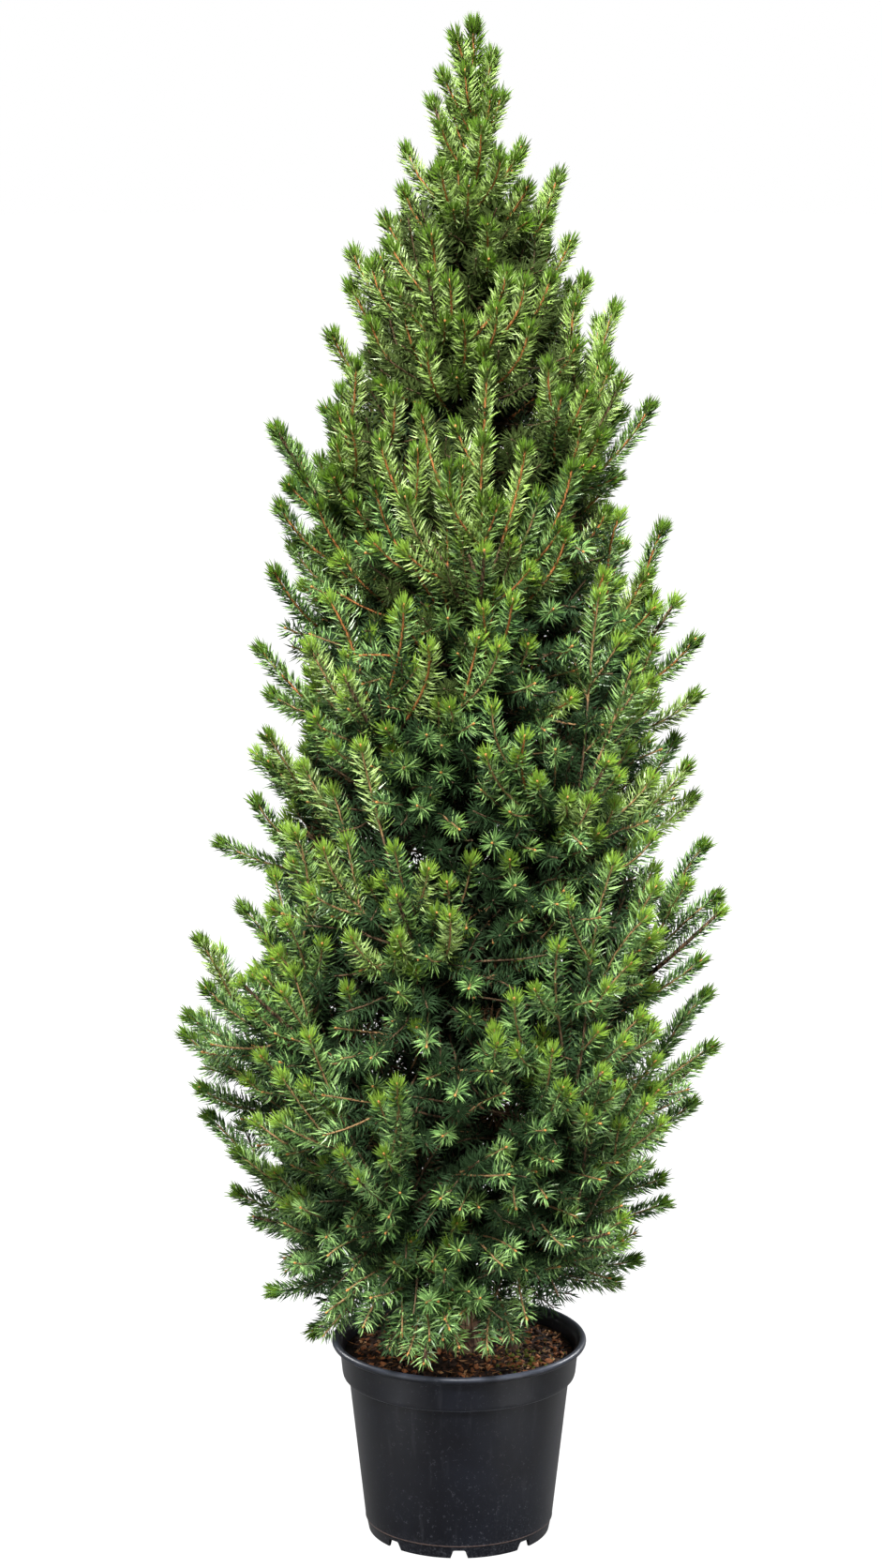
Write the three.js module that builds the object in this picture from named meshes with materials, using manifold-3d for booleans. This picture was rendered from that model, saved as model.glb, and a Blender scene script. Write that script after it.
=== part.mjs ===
// A dwarf conical spruce in a round nursery pot, in millimetres with Z up.
// The origin is the middle of the pot's underside and the plant's front looks along -Y.
import * as THREE from "three";
import { mergeVertices } from "three/addons/utils/BufferGeometryUtils.js";
import Module from "manifold-3d";

const wasm = await Module();
wasm.setup();

const GAP = 0.3;
const SEED = 4.2;
const GOLDEN_TURN = 2.399963;

// Pot: a tapered wall on a notched foot, with a stepped band and a rolled lip at the top.
const POT_HEIGHT = 205;
const POT_WALL = 2.6;
const LIP_RADIUS = 130;
const LIP_ROLL = 3.6;
const BAND_TOP_RADIUS = 122;
const BAND_FOOT_RADIUS = 119;
const BAND_HEIGHT = 40;
const BAND_STEP = 4.5;
const WALL_TOP_RADIUS = 112.5;
const SEAM_RADIUS = 95.8;
const SEAM_HEIGHT = 14;
const FOOT_RADIUS = 92.5;
const FLOOR_HEIGHT = 11;
const POT_SIDES = 32;
const NOTCHES = 8;
const NOTCH_HEIGHT = 9;
const NOTCH_FOOT_WIDTH = 19;
const NOTCH_TOP_WIDTH = 13.5;
const NOTCH_CORNER = 2;

// Soil: it fills the pot and stands a little higher round the trunk.
const SOIL_EDGE_HEIGHT = 189;
const SOIL_TOP = 194;
const SOIL_CREST_RADIUS = 34;

// Trunk: a slight lean towards +X, a root flare, and a long taper up to the leader.
const CROWN_TOP = 1540;
const TRUNK_TIP = 1425;
const TRUNK_FLARE_RADIUS = 27;
const TRUNK_FOOT_RADIUS = 17;
const TRUNK_TIP_RADIUS = 3.4;
const FLARE_HEIGHT = 34;
const TRUNK_LEAN = 13;
const TRUNK_BOW = 7;
const TRUNK_SIDES = 8;
const TRUNK_STEPS = 13;

// Crown: the reach of the furthest tips to the left and right of the pot's axis, by height.
const CROWN_REACH = [
  [200, 150, 130],
  [235, 194, 142],
  [300, 204, 184],
  [340, 212, 210],
  [380, 226, 212],
  [415, 242, 224],
  [440, 260, 240],
  [525, 282, 257],
  [600, 267, 252],
  [650, 247, 261],
  [715, 244, 250],
  [770, 212, 240],
  [865, 198, 241],
  [930, 197, 234],
  [990, 184, 198],
  [1045, 180, 204],
  [1090, 178, 172],
  [1145, 180, 190],
  [1190, 134, 160],
  [1245, 126, 153],
  [1310, 110, 118],
  [1360, 76, 99],
  [1395, 60, 94],
  [1430, 34, 54],
  [1500, 14, 38],
  [1540, 0, 26],
];
// The rise of the shoots above level, by height.
const SHOOT_RISE = [
  [200, -28],
  [250, -8],
  [300, 14],
  [400, 34],
  [600, 44],
  [800, 52],
  [1100, 61],
  [1300, 70],
  [1540, 84],
];

// Boughs and the stems that carry the foliage on from their tips.
const TOP_WEIGHT = 80;
const LIMBS = 29;
const LIMB_PHASE = 4.8;
const BOUGH_TOP = 1090;
const LOWEST_ROOT = 222;
const ROOT_STEP = 13;
const BOUGH_SHARE = 0.36;
const BOUGH_SIDES = 5;
const BOUGH_STEPS = 2;
const BOUGH_ROOT_RADIUS = 6.2;
const STEM_RADIUS = 3.6;
const STEM_TIP_RADIUS = 2.2;

// Cores: the dense inside of each mass, kept apart from its neighbours, the trunk and the pot.
const CORE_SHARE = 0.58;
const CORE_DETAIL = 1;
const CORE_DEPTH = 0.72;
const CORE_MARGIN = 5;
const CORE_LONGEST = 135;
const CORE_SHORTEST = 6;
const CORE_LOWEST = 226;
const CORE_LUMPS = 0.16;
const TRUNK_MARGIN = 14;

// Sprays: slim cores that needles stand out of, one for each group of shoots.
const SPRAYS = 132;
const SPRAY_PHASE = 0;
const SPRAY_SIDES = 3;
const SPRAY_STEPS = 3;
const SPRAY_CORE = 3.6;
const SPRAY_LENGTH = 88;
const SPRAY_SINK = 0.5;
const SPRAY_POINT = 9;
const SPRAY_TWIST = 0.55;
const NEEDLE_REACH = 30;
const NEEDLE_LEAN = 0.8;
const TOP_NEEDLE_SHARE = 0.45;
const FEWEST_NEEDLES = 3;
const NEEDLE_ROOM = [
  [0.4, 7],
  [0.7, 5.5],
  [1, 4],
];

const POT_COLOUR = 0x2b2d32;
const SOIL_COLOUR = 0x33261c;
const BARK_COLOUR = 0x6a4b35;
const FOLIAGE_COLOURS = [0x4f7a36, 0x5b8540, 0x47713f];

const vec = (x, y, z) => new THREE.Vector3(x, y, z);
const degrees = THREE.MathUtils.degToRad;

// A repeatable number from 0 to 1 for one member and one of its features.
function seeded(member, feature) {
  const wave = Math.sin(member * 127.1 + feature * 311.7 + SEED) * 43758.5453;
  return wave - Math.floor(wave);
}

// The value at a height in one column of a short table, straight between its rows.
function atHeight(table, z, column = 1) {
  const last = table.length - 1;
  if (z <= table[0][0]) return table[0][column];
  const i = table.findIndex((row) => row[0] >= z);
  if (i < 0) return table[last][column];
  const [low, high] = [table[i - 1], table[i]];
  return low[column] + ((high[column] - low[column]) * (z - low[0])) / (high[0] - low[0]);
}

// The crown's mean reach at a height, and how far its middle lies towards +X.
function crownReach(z) {
  return (atHeight(CROWN_REACH, z, 2) + atHeight(CROWN_REACH, z, 1)) / 2;
}

function crownShift(z) {
  return (atHeight(CROWN_REACH, z, 2) - atHeight(CROWN_REACH, z, 1)) / 2;
}

// A closed body as a solid that can be joined and cut.
function solidOf(geometry) {
  const bare = new THREE.BufferGeometry();
  bare.setAttribute("position", geometry.getAttribute("position"));
  bare.setIndex(geometry.index);
  const merged = mergeVertices(bare, 1e-4);
  const corners = merged.index.array;
  const kept = [];
  for (let i = 0; i < corners.length; i += 3) {
    const [a, b, c] = [corners[i], corners[i + 1], corners[i + 2]];
    if (a !== b && b !== c && c !== a) kept.push(a, b, c);
  }
  const mesh = new wasm.Mesh({
    numProp: 3,
    vertProperties: merged.getAttribute("position").array,
    triVerts: new Uint32Array(kept),
  });
  return new wasm.Manifold(mesh);
}

// A solid back as geometry about a given place.
function geometryOf(solid, place) {
  const mesh = solid.getMesh();
  const points = new Float32Array(mesh.numVert * 3);
  for (let i = 0; i < mesh.numVert; i++) {
    const at = i * mesh.numProp;
    points.set(mesh.vertProperties.subarray(at, at + 3), i * 3);
  }
  const geometry = new THREE.BufferGeometry();
  geometry.setAttribute("position", new THREE.BufferAttribute(points, 3));
  geometry.setIndex(new THREE.BufferAttribute(mesh.triVerts, 1));
  geometry.translate(-place.x, -place.y, -place.z);
  return geometry;
}

// The largest body of a solid, without loose scraps and sealed hollows.
function mainBody(solid) {
  const bodies = solid.decompose();
  return bodies.reduce((best, body) => (body.volume() > best.volume() ? body : best));
}

// A turned body about the Z axis from a profile of radius and height.
function turned(profile, sides) {
  const points = profile.map(([r, z]) => new THREE.Vector2(r, z));
  return new THREE.LatheGeometry(points, sides).rotateX(Math.PI / 2);
}

// A closed body through rings, with a flat or pointed end, and a needle on each face that wants one.
function ringBody(rings, sides, { tip = null, needle = null } = {}) {
  const points = [];
  const faces = [];
  const add = (p) => points.push(p.x, p.y, p.z) / 3 - 1;
  const corner = (ring, k) => {
    const turn = ring.turn + (2 * Math.PI * k) / sides;
    const across = ring.across.clone().multiplyScalar(Math.cos(turn) * ring.radius);
    const over = ring.over.clone().multiplyScalar(Math.sin(turn) * ring.radius);
    return ring.centre.clone().add(across).add(over);
  };
  const rows = rings.map((ring) => {
    const row = [];
    for (let k = 0; k < sides; k++) row.push(add(corner(ring, k)));
    return row;
  });
  for (let j = 0; j < rings.length - 1; j++) {
    for (let k = 0; k < sides; k++) {
      const next = (k + 1) % sides;
      const [a, b, c, d] = [rows[j][k], rows[j][next], rows[j + 1][next], rows[j + 1][k]];
      const apex = needle ? needle(j, k) : null;
      if (apex) {
        const e = add(apex);
        faces.push(a, b, e, b, c, e, c, d, e, d, a, e);
      } else {
        faces.push(a, b, c, a, c, d);
      }
    }
  }
  const first = add(rings[0].centre);
  const end = add(tip || rings[rings.length - 1].centre);
  const lastRow = rows[rows.length - 1];
  for (let k = 0; k < sides; k++) {
    const next = (k + 1) % sides;
    faces.push(first, rows[0][next], rows[0][k], end, lastRow[k], lastRow[next]);
  }
  const geometry = new THREE.BufferGeometry();
  geometry.setAttribute("position", new THREE.Float32BufferAttribute(points, 3));
  geometry.setIndex(faces);
  return geometry;
}

// Rings square to a curve at given shares of its length.
function ringsAlong(curve, shares, radiusAt, twist = 0) {
  const chord = curve.getPoint(1).sub(curve.getPoint(0)).normalize();
  const guide = Math.abs(chord.z) > 0.8 ? vec(1, 0, 0) : vec(0, 0, 1);
  return shares.map((share, j) => {
    const along = curve.getTangentAt(share);
    const across = guide.clone().cross(along).normalize();
    const over = along.clone().cross(across);
    const centre = curve.getPointAt(share);
    return { centre, along, across, over, radius: radiusAt(share), turn: j * twist };
  });
}

function evenShares(from, to, steps) {
  return Array.from({ length: steps + 1 }, (_, i) => from + ((to - from) * i) / steps);
}

// Outer radius of the pot's plain wall at a height.
function wallRadius(z) {
  const rise = (z - SEAM_HEIGHT) / (POT_HEIGHT - BAND_HEIGHT - SEAM_HEIGHT);
  return SEAM_RADIUS + (WALL_TOP_RADIUS - SEAM_RADIUS) * rise;
}

function makePot() {
  const bandFoot = POT_HEIGHT - BAND_HEIGHT;
  const lipCentre = LIP_RADIUS - LIP_ROLL;
  const lipHeight = POT_HEIGHT - LIP_ROLL;
  const inner = BAND_TOP_RADIUS - POT_WALL;
  const profile = [
    [0, FLOOR_HEIGHT],
    [FOOT_RADIUS - POT_WALL, FLOOR_HEIGHT],
    [FOOT_RADIUS - POT_WALL, 0],
    [FOOT_RADIUS, 0],
    [SEAM_RADIUS, SEAM_HEIGHT],
    [WALL_TOP_RADIUS, bandFoot],
    [BAND_FOOT_RADIUS, bandFoot + BAND_STEP],
    [BAND_TOP_RADIUS, lipHeight - LIP_ROLL],
  ];
  for (const turn of evenShares(-90, 180, 4)) {
    const angle = degrees(turn);
    profile.push([lipCentre + LIP_ROLL * Math.cos(angle), lipHeight + LIP_ROLL * Math.sin(angle)]);
  }
  profile.push(
    [inner, lipHeight - LIP_ROLL],
    [WALL_TOP_RADIUS - POT_WALL, bandFoot],
    [wallRadius(FLOOR_HEIGHT + POT_WALL) - POT_WALL, FLOOR_HEIGHT + POT_WALL],
    [0, FLOOR_HEIGHT + POT_WALL],
  );
  let pot = solidOf(turned(profile, POT_SIDES));
  const outline = new THREE.Shape();
  outline.moveTo(-NOTCH_FOOT_WIDTH / 2, -1);
  outline.lineTo(NOTCH_FOOT_WIDTH / 2, -1);
  outline.lineTo(NOTCH_TOP_WIDTH / 2, NOTCH_HEIGHT - NOTCH_CORNER);
  outline.lineTo(NOTCH_TOP_WIDTH / 2 - NOTCH_CORNER, NOTCH_HEIGHT);
  outline.lineTo(NOTCH_CORNER - NOTCH_TOP_WIDTH / 2, NOTCH_HEIGHT);
  outline.lineTo(-NOTCH_TOP_WIDTH / 2, NOTCH_HEIGHT - NOTCH_CORNER);
  for (let i = 0; i < NOTCHES; i++) {
    const turn = degrees(-90 + (360 * i) / NOTCHES);
    const radial = vec(Math.cos(turn), Math.sin(turn), 0);
    const tangent = vec(-Math.sin(turn), Math.cos(turn), 0);
    const frame = new THREE.Matrix4().makeBasis(tangent, vec(0, 0, 1), radial);
    frame.setPosition(radial.clone().multiplyScalar(FOOT_RADIUS - 20));
    const slot = new THREE.ExtrudeGeometry(outline, { depth: 40, bevelEnabled: false });
    pot = pot.subtract(solidOf(slot.applyMatrix4(frame)));
  }
  return mainBody(pot);
}

function makeSoil() {
  const floor = FLOOR_HEIGHT + POT_WALL + GAP;
  const bandFoot = POT_HEIGHT - BAND_HEIGHT;
  const inset = POT_WALL + GAP;
  const slope = (BAND_TOP_RADIUS - WALL_TOP_RADIUS) / (BAND_HEIGHT - 2 * LIP_ROLL);
  const edge = WALL_TOP_RADIUS + slope * (SOIL_EDGE_HEIGHT - bandFoot);
  const profile = [
    [0, floor],
    [wallRadius(floor) - inset, floor],
    [WALL_TOP_RADIUS - inset, bandFoot],
    [edge - inset, SOIL_EDGE_HEIGHT],
    [edge * 0.72, SOIL_EDGE_HEIGHT + 2],
    [SOIL_CREST_RADIUS, SOIL_TOP],
    [0, SOIL_TOP],
  ];
  return solidOf(turned(profile, POT_SIDES));
}

// The trunk's axis and its radius at a height.
function trunkPoint(z) {
  const share = (z - SOIL_TOP) / (CROWN_TOP - SOIL_TOP);
  const bow = Math.sin(Math.PI * share) * TRUNK_BOW;
  return vec(TRUNK_LEAN * share + bow * 0.6, bow, z);
}

function trunkRadius(z) {
  const share = (z - SOIL_TOP) / (TRUNK_TIP - SOIL_TOP);
  const taper = TRUNK_FOOT_RADIUS + (TRUNK_TIP_RADIUS - TRUNK_FOOT_RADIUS) * share ** 0.85;
  const flare = (TRUNK_FLARE_RADIUS - TRUNK_FOOT_RADIUS) * Math.exp((SOIL_TOP - z) / (FLARE_HEIGHT / 3));
  return taper + flare;
}

function makeTrunk(extra) {
  const foot = SOIL_TOP + GAP;
  const heights = [foot, foot + FLARE_HEIGHT * 0.3, foot + FLARE_HEIGHT * 0.8];
  heights.push(...evenShares(foot + FLARE_HEIGHT * 2, TRUNK_TIP, TRUNK_STEPS - 3));
  const rings = heights.map((z) => ({
    centre: trunkPoint(z),
    across: vec(1, 0, 0),
    over: vec(0, 1, 0),
    radius: trunkRadius(z) + extra,
    turn: 0,
  }));
  return solidOf(ringBody(rings, TRUNK_SIDES));
}

// Heights that share the crown's surface evenly, found from the area summed up from its foot.
const AREA_STEPS = 240;
const areaHeights = evenShares(CROWN_REACH[0][0] + 8, CROWN_TOP - 40, AREA_STEPS);
const areaSums = areaHeights.map(() => 0);
for (let i = 1; i <= AREA_STEPS; i++) {
  areaSums[i] = areaSums[i - 1] + crownReach(areaHeights[i]) + TOP_WEIGHT;
}

function heightAtShare(share) {
  const wanted = share * areaSums[AREA_STEPS];
  const i = areaSums.findIndex((sum) => sum >= wanted);
  return areaHeights[Math.max(i, 0)];
}

// A tip on the crown's surface, a share of the way up it and at a turn about the trunk.
function crownTip(z, turn, depth) {
  const reach = crownReach(z) * depth;
  return vec(crownShift(z) + reach * Math.cos(turn), reach * Math.sin(turn), z);
}

// One limb runs from the trunk's middle to a tip, hanging back first and then sweeping up.
function makeLimb(i) {
  const z = heightAtShare((i + 0.5) / LIMBS);
  const turn = LIMB_PHASE + i * GOLDEN_TURN + 0.5 * (seeded(i, 1) - 0.5);
  const tip = crownTip(z, turn, 1);
  const rise = degrees(atHeight(SHOOT_RISE, z) - 7 + 6 * (seeded(i, 2) - 0.5));
  const reach = Math.hypot(tip.x, tip.y);
  const root = Math.max(z - reach * Math.tan(rise), LOWEST_ROOT + ROOT_STEP * Math.min(i, 9));
  const start = trunkPoint(Math.min(root, TRUNK_TIP - 30));
  const climb = tip.z - start.z;
  const bend = start.clone().lerp(tip, 0.55);
  bend.z = start.z + climb * (climb > 0 ? 0.4 : 0.1) + (climb > 0 ? 0 : 14);
  const curve = new THREE.QuadraticBezierCurve3(start, bend, tip);
  return { index: i, curve, turn, tip, length: curve.getLength(), hasBough: z < BOUGH_TOP };
}

const pot = makePot();
const soil = makeSoil();
const trunk = makeTrunk(0);
const trunkRoom = makeTrunk(GAP);
const limbs = Array.from({ length: LIMBS }, (_, i) => makeLimb(i));

const leaderFoot = trunkPoint(TRUNK_TIP + GAP);
const leaderTip = trunkPoint(CROWN_TOP);
const leader = {
  index: LIMBS,
  curve: new THREE.LineCurve3(leaderFoot, leaderTip),
  turn: 0,
  tip: leaderTip,
  length: leaderTip.distanceTo(leaderFoot),
  isLeader: true,
};
const carriers = [...limbs, leader];

// How far a core may reach from its middle in one direction before it meets an edge of its space.
function coreRoom(carrier, way) {
  const { middle, inner } = carrier;
  const edges = carriers.filter((other) => other !== carrier).map((other) => {
    const apart = other.middle.clone().sub(middle);
    return { out: apart.clone().normalize(), room: apart.length() / 2 - CORE_MARGIN };
  });
  edges.push({ out: vec(0, 0, -1), room: middle.z - CORE_LOWEST });
  edges.push({ out: inner.out, room: inner.room });
  let room = CORE_LONGEST;
  for (const edge of edges) {
    const facing = way.dot(edge.out);
    if (facing > 0) room = Math.min(room, edge.room / facing);
  }
  const probe = vec(0, 0, 0);
  for (let run = 0; run < room; run += 4) {
    probe.copy(middle).addScaledVector(way, run);
    const reach = crownReach(probe.z) * CORE_DEPTH;
    if (Math.hypot(probe.x - crownShift(probe.z), probe.y) > reach) room = run;
  }
  return Math.max(room, CORE_SHORTEST);
}

// A lumpy closed core that fills the space of one mass.
function makeCore(carrier) {
  const bare = new THREE.IcosahedronGeometry(1, CORE_DETAIL);
  bare.deleteAttribute("normal");
  bare.deleteAttribute("uv");
  const ball = mergeVertices(bare, 1e-4);
  const points = ball.getAttribute("position");
  const way = vec(0, 0, 0);
  for (let i = 0; i < points.count; i++) {
    way.fromBufferAttribute(points, i).normalize();
    const lump = 1 - CORE_LUMPS * seeded(carrier.index * 64 + i, 3);
    way.multiplyScalar(coreRoom(carrier, way) * lump).add(carrier.middle);
    points.setXYZ(i, way.x, way.y, way.z);
  }
  return solidOf(ball);
}

// The stem that carries one mass runs from its bough's tip or the trunk to the middle of its core.
function makeStem({ curve, length, isLeader, hasBough }) {
  const from = isLeader ? 0 : hasBough ? BOUGH_SHARE + GAP / length : 0;
  const shares = evenShares(from, isLeader ? 0.6 : CORE_SHARE, 2);
  const radiusAt = (share) => STEM_RADIUS + (STEM_TIP_RADIUS - STEM_RADIUS) * (share - from);
  const stem = solidOf(ringBody(ringsAlong(curve, shares, radiusAt), 4));
  return hasBough || isLeader ? stem : mainBody(stem.subtract(trunkRoom));
}

function makeBough({ curve }, extra) {
  const radiusAt = (share) => {
    const run = share / BOUGH_SHARE;
    return extra + BOUGH_ROOT_RADIUS + (STEM_RADIUS - BOUGH_ROOT_RADIUS) * run ** 0.8;
  };
  const rings = ringsAlong(curve, evenShares(0, BOUGH_SHARE, BOUGH_STEPS), radiusAt);
  return mainBody(solidOf(ringBody(rings, BOUGH_SIDES)).subtract(trunkRoom));
}

// Each core lies on its limb's outer part and stays outside the bough's end and the trunk.
for (const carrier of carriers) {
  const { curve, isLeader, hasBough } = carrier;
  carrier.middle = curve.getPointAt(isLeader ? 0.4 : CORE_SHARE);
  const end = curve.getPointAt(hasBough ? BOUGH_SHARE : 0.2);
  const trunkSide = trunkPoint(carrier.middle.z).sub(carrier.middle);
  trunkSide.z = 0;
  const toBough = end.clone().sub(carrier.middle);
  toBough.z = 0;
  const clear = trunkSide.length() - trunkRadius(carrier.middle.z) - TRUNK_MARGIN;
  const room = Math.min(clear, toBough.length() - 4);
  carrier.inner = isLeader ? { out: vec(0, 0, -1), room: 34 } : { out: trunkSide.normalize(), room };
}

const boughs = limbs.filter((limb) => limb.hasBough);
boughs.forEach((limb) => {
  limb.bough = makeBough(limb, 0);
});
const limbRooms = boughs.map((limb) => makeBough(limb, 2 * GAP));
for (const carrier of carriers) {
  let core = makeCore(carrier);
  for (const room of [trunkRoom, ...limbRooms]) {
    if (!core.intersect(room).isEmpty()) core = mainBody(core.subtract(room));
  }
  carrier.bodies = carrier.isLeader ? [makeStem(carrier)] : [makeStem(carrier), core];
}

// The rings of a spray's slim core: a bare foot, then even steps under the needles.
function sprayRings(curve) {
  const length = curve.getLength();
  const needled = Math.max(0.12, 1 - SPRAY_LENGTH / length);
  const shares = [0, ...evenShares(needled, 1 - SPRAY_POINT / length, SPRAY_STEPS)];
  return ringsAlong(curve, shares, (share) => SPRAY_CORE * (1 - 0.45 * share), SPRAY_TWIST);
}

// The tip of the needle that stands on one face of the core, and the middle of that face.
function needleOn(rings, j, k) {
  const [low, high] = [rings[j], rings[j + 1]];
  const turn = (low.turn + high.turn) / 2 + (2 * Math.PI * (k + 0.5)) / SPRAY_SIDES;
  const out = low.across.clone().multiplyScalar(Math.cos(turn));
  out.addScaledVector(low.over, Math.sin(turn));
  const fade = 1 - TOP_NEEDLE_SHARE * ((j - 1) / (SPRAY_STEPS - 1)) ** 2;
  const steep = THREE.MathUtils.clamp(low.along.z, 0, 1);
  const reach = NEEDLE_REACH * fade * (1 - 0.25 * steep);
  const foot = low.centre.clone().lerp(high.centre, 0.5);
  const apex = foot.clone().addScaledVector(out, reach).addScaledVector(low.along, reach * NEEDLE_LEAN);
  return { apex, foot };
}

// A spray as a closed body, with the needles that were kept.
function makeSpray(curve, rings, needles) {
  const needle = (j, k) => needles.get(j * SPRAY_SIDES + k) || null;
  return solidOf(ringBody(rings, SPRAY_SIDES, { tip: curve.getPointAt(1), needle }));
}

// Straight runs that stand for the sprays and needles already grown.
const runs = [];
const nearest = vec(0, 0, 0);

function hasRoom(point, owner, room) {
  return runs.every((run) => {
    if (run.owner === owner) return true;
    return run.line.closestPointToPoint(point, true, nearest).distanceTo(point) > room;
  });
}

function insideCore(point) {
  return limbs.some((carrier) => {
    const way = point.clone().sub(carrier.middle);
    const run = way.length();
    return run < CORE_LONGEST + 5 && run < coreRoom(carrier, way.normalize()) + 3;
  });
}

// A needle is kept where its length is clear of everything grown before it.
function needlesWithRoom(rings, owner) {
  const needles = new Map();
  for (let j = 1; j < rings.length - 1; j++) {
    for (let k = 0; k < SPRAY_SIDES; k++) {
      const { apex, foot } = needleOn(rings, j, k);
      const clear = NEEDLE_ROOM.every(([share, room]) => {
        return hasRoom(foot.clone().lerp(apex, share), owner, room);
      });
      if (!clear || insideCore(apex)) continue;
      needles.set(j * SPRAY_SIDES + k, apex);
      runs.push({ owner, line: new THREE.Line3(foot, apex) });
    }
  }
  return needles;
}

// The shoot to a tip leaves the inside of its core and turns up to the rise of the shoots at that height.
function shootTo(tip, carrier) {
  const { middle, isLeader } = carrier;
  const rise = degrees(atHeight(SHOOT_RISE, tip.z));
  const trunkSide = trunkPoint(Math.min(tip.z, TRUNK_TIP));
  const outward = Math.atan2(tip.y - trunkSide.y, tip.x - trunkSide.x);
  const flat = Math.cos(rise);
  const heading = vec(Math.cos(outward) * flat, Math.sin(outward) * flat, Math.sin(rise));
  const aim = tip.clone().addScaledVector(heading, -0.8 * SPRAY_LENGTH).sub(middle);
  const run = Math.min(aim.length(), coreRoom(carrier, aim.clone().normalize()) * SPRAY_SINK);
  const foot = middle.clone().addScaledVector(aim.normalize(), run);
  if (isLeader) foot.copy(trunkPoint(Math.max(tip.z - SPRAY_LENGTH, TRUNK_TIP + 6)));
  const bend = tip.clone().addScaledVector(heading, -0.45 * foot.distanceTo(tip));
  return new THREE.QuadraticBezierCurve3(foot, bend, tip);
}

function meets(solid, others) {
  return others.some((other) => !solid.intersect(other).isEmpty());
}

// A spray is kept when it is clear of the limbs, the pot, the soil and every other mass.
const fixed = [trunkRoom, pot, soil, ...limbRooms];

function grow(carrier, tip) {
  const owner = { carrier };
  const curve = shootTo(tip, carrier);
  const rings = sprayRings(curve);
  const known = runs.length;
  const needles = needlesWithRoom(rings, owner);
  const spray = makeSpray(curve, rings, needles);
  const strangers = carriers.filter((other) => other !== carrier).flatMap((other) => other.bodies);
  if (needles.size < FEWEST_NEEDLES || meets(spray, fixed) || meets(spray, strangers)) {
    runs.length = known;
    return false;
  }
  runs.push({ owner, line: new THREE.Line3(curve.getPointAt(0.4), curve.getPointAt(0.7)) });
  runs.push({ owner, line: new THREE.Line3(curve.getPointAt(0.7), tip) });
  carrier.bodies.push(spray);
  return true;
}

// The carriers' own tips grow first, then even rounds of tips over the whole crown.
for (const carrier of carriers) grow(carrier, carrier.tip);
for (let k = 0; k < SPRAYS; k++) {
  const z = heightAtShare((k + 0.5) / SPRAYS) + 20 * (seeded(k, 5) - 0.5);
  const turn = SPRAY_PHASE + k * GOLDEN_TURN + 0.4 * (seeded(k, 6) - 0.5);
  const tip = crownTip(z, turn, 0.93 + 0.07 * seeded(k, 7));
  const near = [...carriers].sort((a, b) => a.middle.distanceTo(tip) - b.middle.distanceTo(tip));
  near.slice(0, 2).some((carrier) => grow(carrier, tip));
}

function finish(colour, roughness) {
  return new THREE.MeshStandardMaterial({ color: colour, roughness, metalness: 0 });
}

// A named piece in its group, with its geometry told from the group's own place.
function place(group, name, solid, material) {
  const mesh = new THREE.Mesh(geometryOf(solid, group.position), material);
  mesh.name = name;
  group.add(mesh);
}

const twoDigits = (n) => String(n).padStart(2, "0");
const plant = new THREE.Group();
plant.name = "potted_spruce";
place(plant, "pot", pot, finish(POT_COLOUR, 0.5));
place(plant, "soil", soil, finish(SOIL_COLOUR, 0.95));
place(plant, "trunk", trunk, finish(BARK_COLOUR, 0.9));

carriers.forEach((carrier, i) => {
  const group = new THREE.Group();
  group.name = carrier.isLeader ? "leader_group" : "limb_group_" + twoDigits(i + 1);
  group.position.copy(carrier.curve.getPoint(0));
  const joined = carrier.bodies.reduce((sum, body) => sum.add(body));
  const leaf = finish(FOLIAGE_COLOURS[i % FOLIAGE_COLOURS.length], 0.6);
  if (carrier.bough) place(group, "bough_" + twoDigits(i + 1), carrier.bough, finish(BARK_COLOUR, 0.9));
  place(group, carrier.isLeader ? "leader" : "foliage_" + twoDigits(i + 1), mainBody(joined), leaf);
  plant.add(group);
});

export default plant;
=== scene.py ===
"""The looks of a potted dwarf conical spruce: pot, soil, bark, twigs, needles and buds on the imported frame.

Sizes in the growth rule are millimetres, as in the part's source. Meshes are metres.
"""

import math

import bpy
import numpy as np
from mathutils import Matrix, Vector, noise


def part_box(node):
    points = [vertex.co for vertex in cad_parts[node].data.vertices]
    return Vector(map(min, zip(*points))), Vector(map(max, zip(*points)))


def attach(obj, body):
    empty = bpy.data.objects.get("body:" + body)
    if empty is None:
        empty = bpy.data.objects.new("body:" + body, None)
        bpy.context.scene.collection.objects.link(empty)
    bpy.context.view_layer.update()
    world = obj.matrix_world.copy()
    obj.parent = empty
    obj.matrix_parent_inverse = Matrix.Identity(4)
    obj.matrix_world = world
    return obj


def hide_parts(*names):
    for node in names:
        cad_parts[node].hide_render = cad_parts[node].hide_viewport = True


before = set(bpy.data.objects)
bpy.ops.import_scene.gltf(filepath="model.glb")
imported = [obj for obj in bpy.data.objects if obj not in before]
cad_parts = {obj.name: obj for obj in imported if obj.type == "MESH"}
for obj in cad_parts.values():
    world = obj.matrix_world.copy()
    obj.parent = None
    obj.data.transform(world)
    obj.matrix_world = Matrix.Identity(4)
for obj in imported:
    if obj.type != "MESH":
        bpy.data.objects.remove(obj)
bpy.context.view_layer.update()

bl_info = {
    "name": "Potted spruce looks",
    "version": (1, 0, 0),
    "blender": (4, 5, 0),
    "location": "3D View > Sidebar > Spruce",
    "description": "Grows a dwarf conical spruce in a nursery pot over its packed solids",
    "category": "Object",
}

MM = 0.001
SEED = 4.2
GROWTH_SEED = 11
STREW_SEED = 23
GOLDEN_TURN = 2.399963
ANY_TURN = 6.28
STEEP = 0.8
MOST_NEEDLES = 48000

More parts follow.
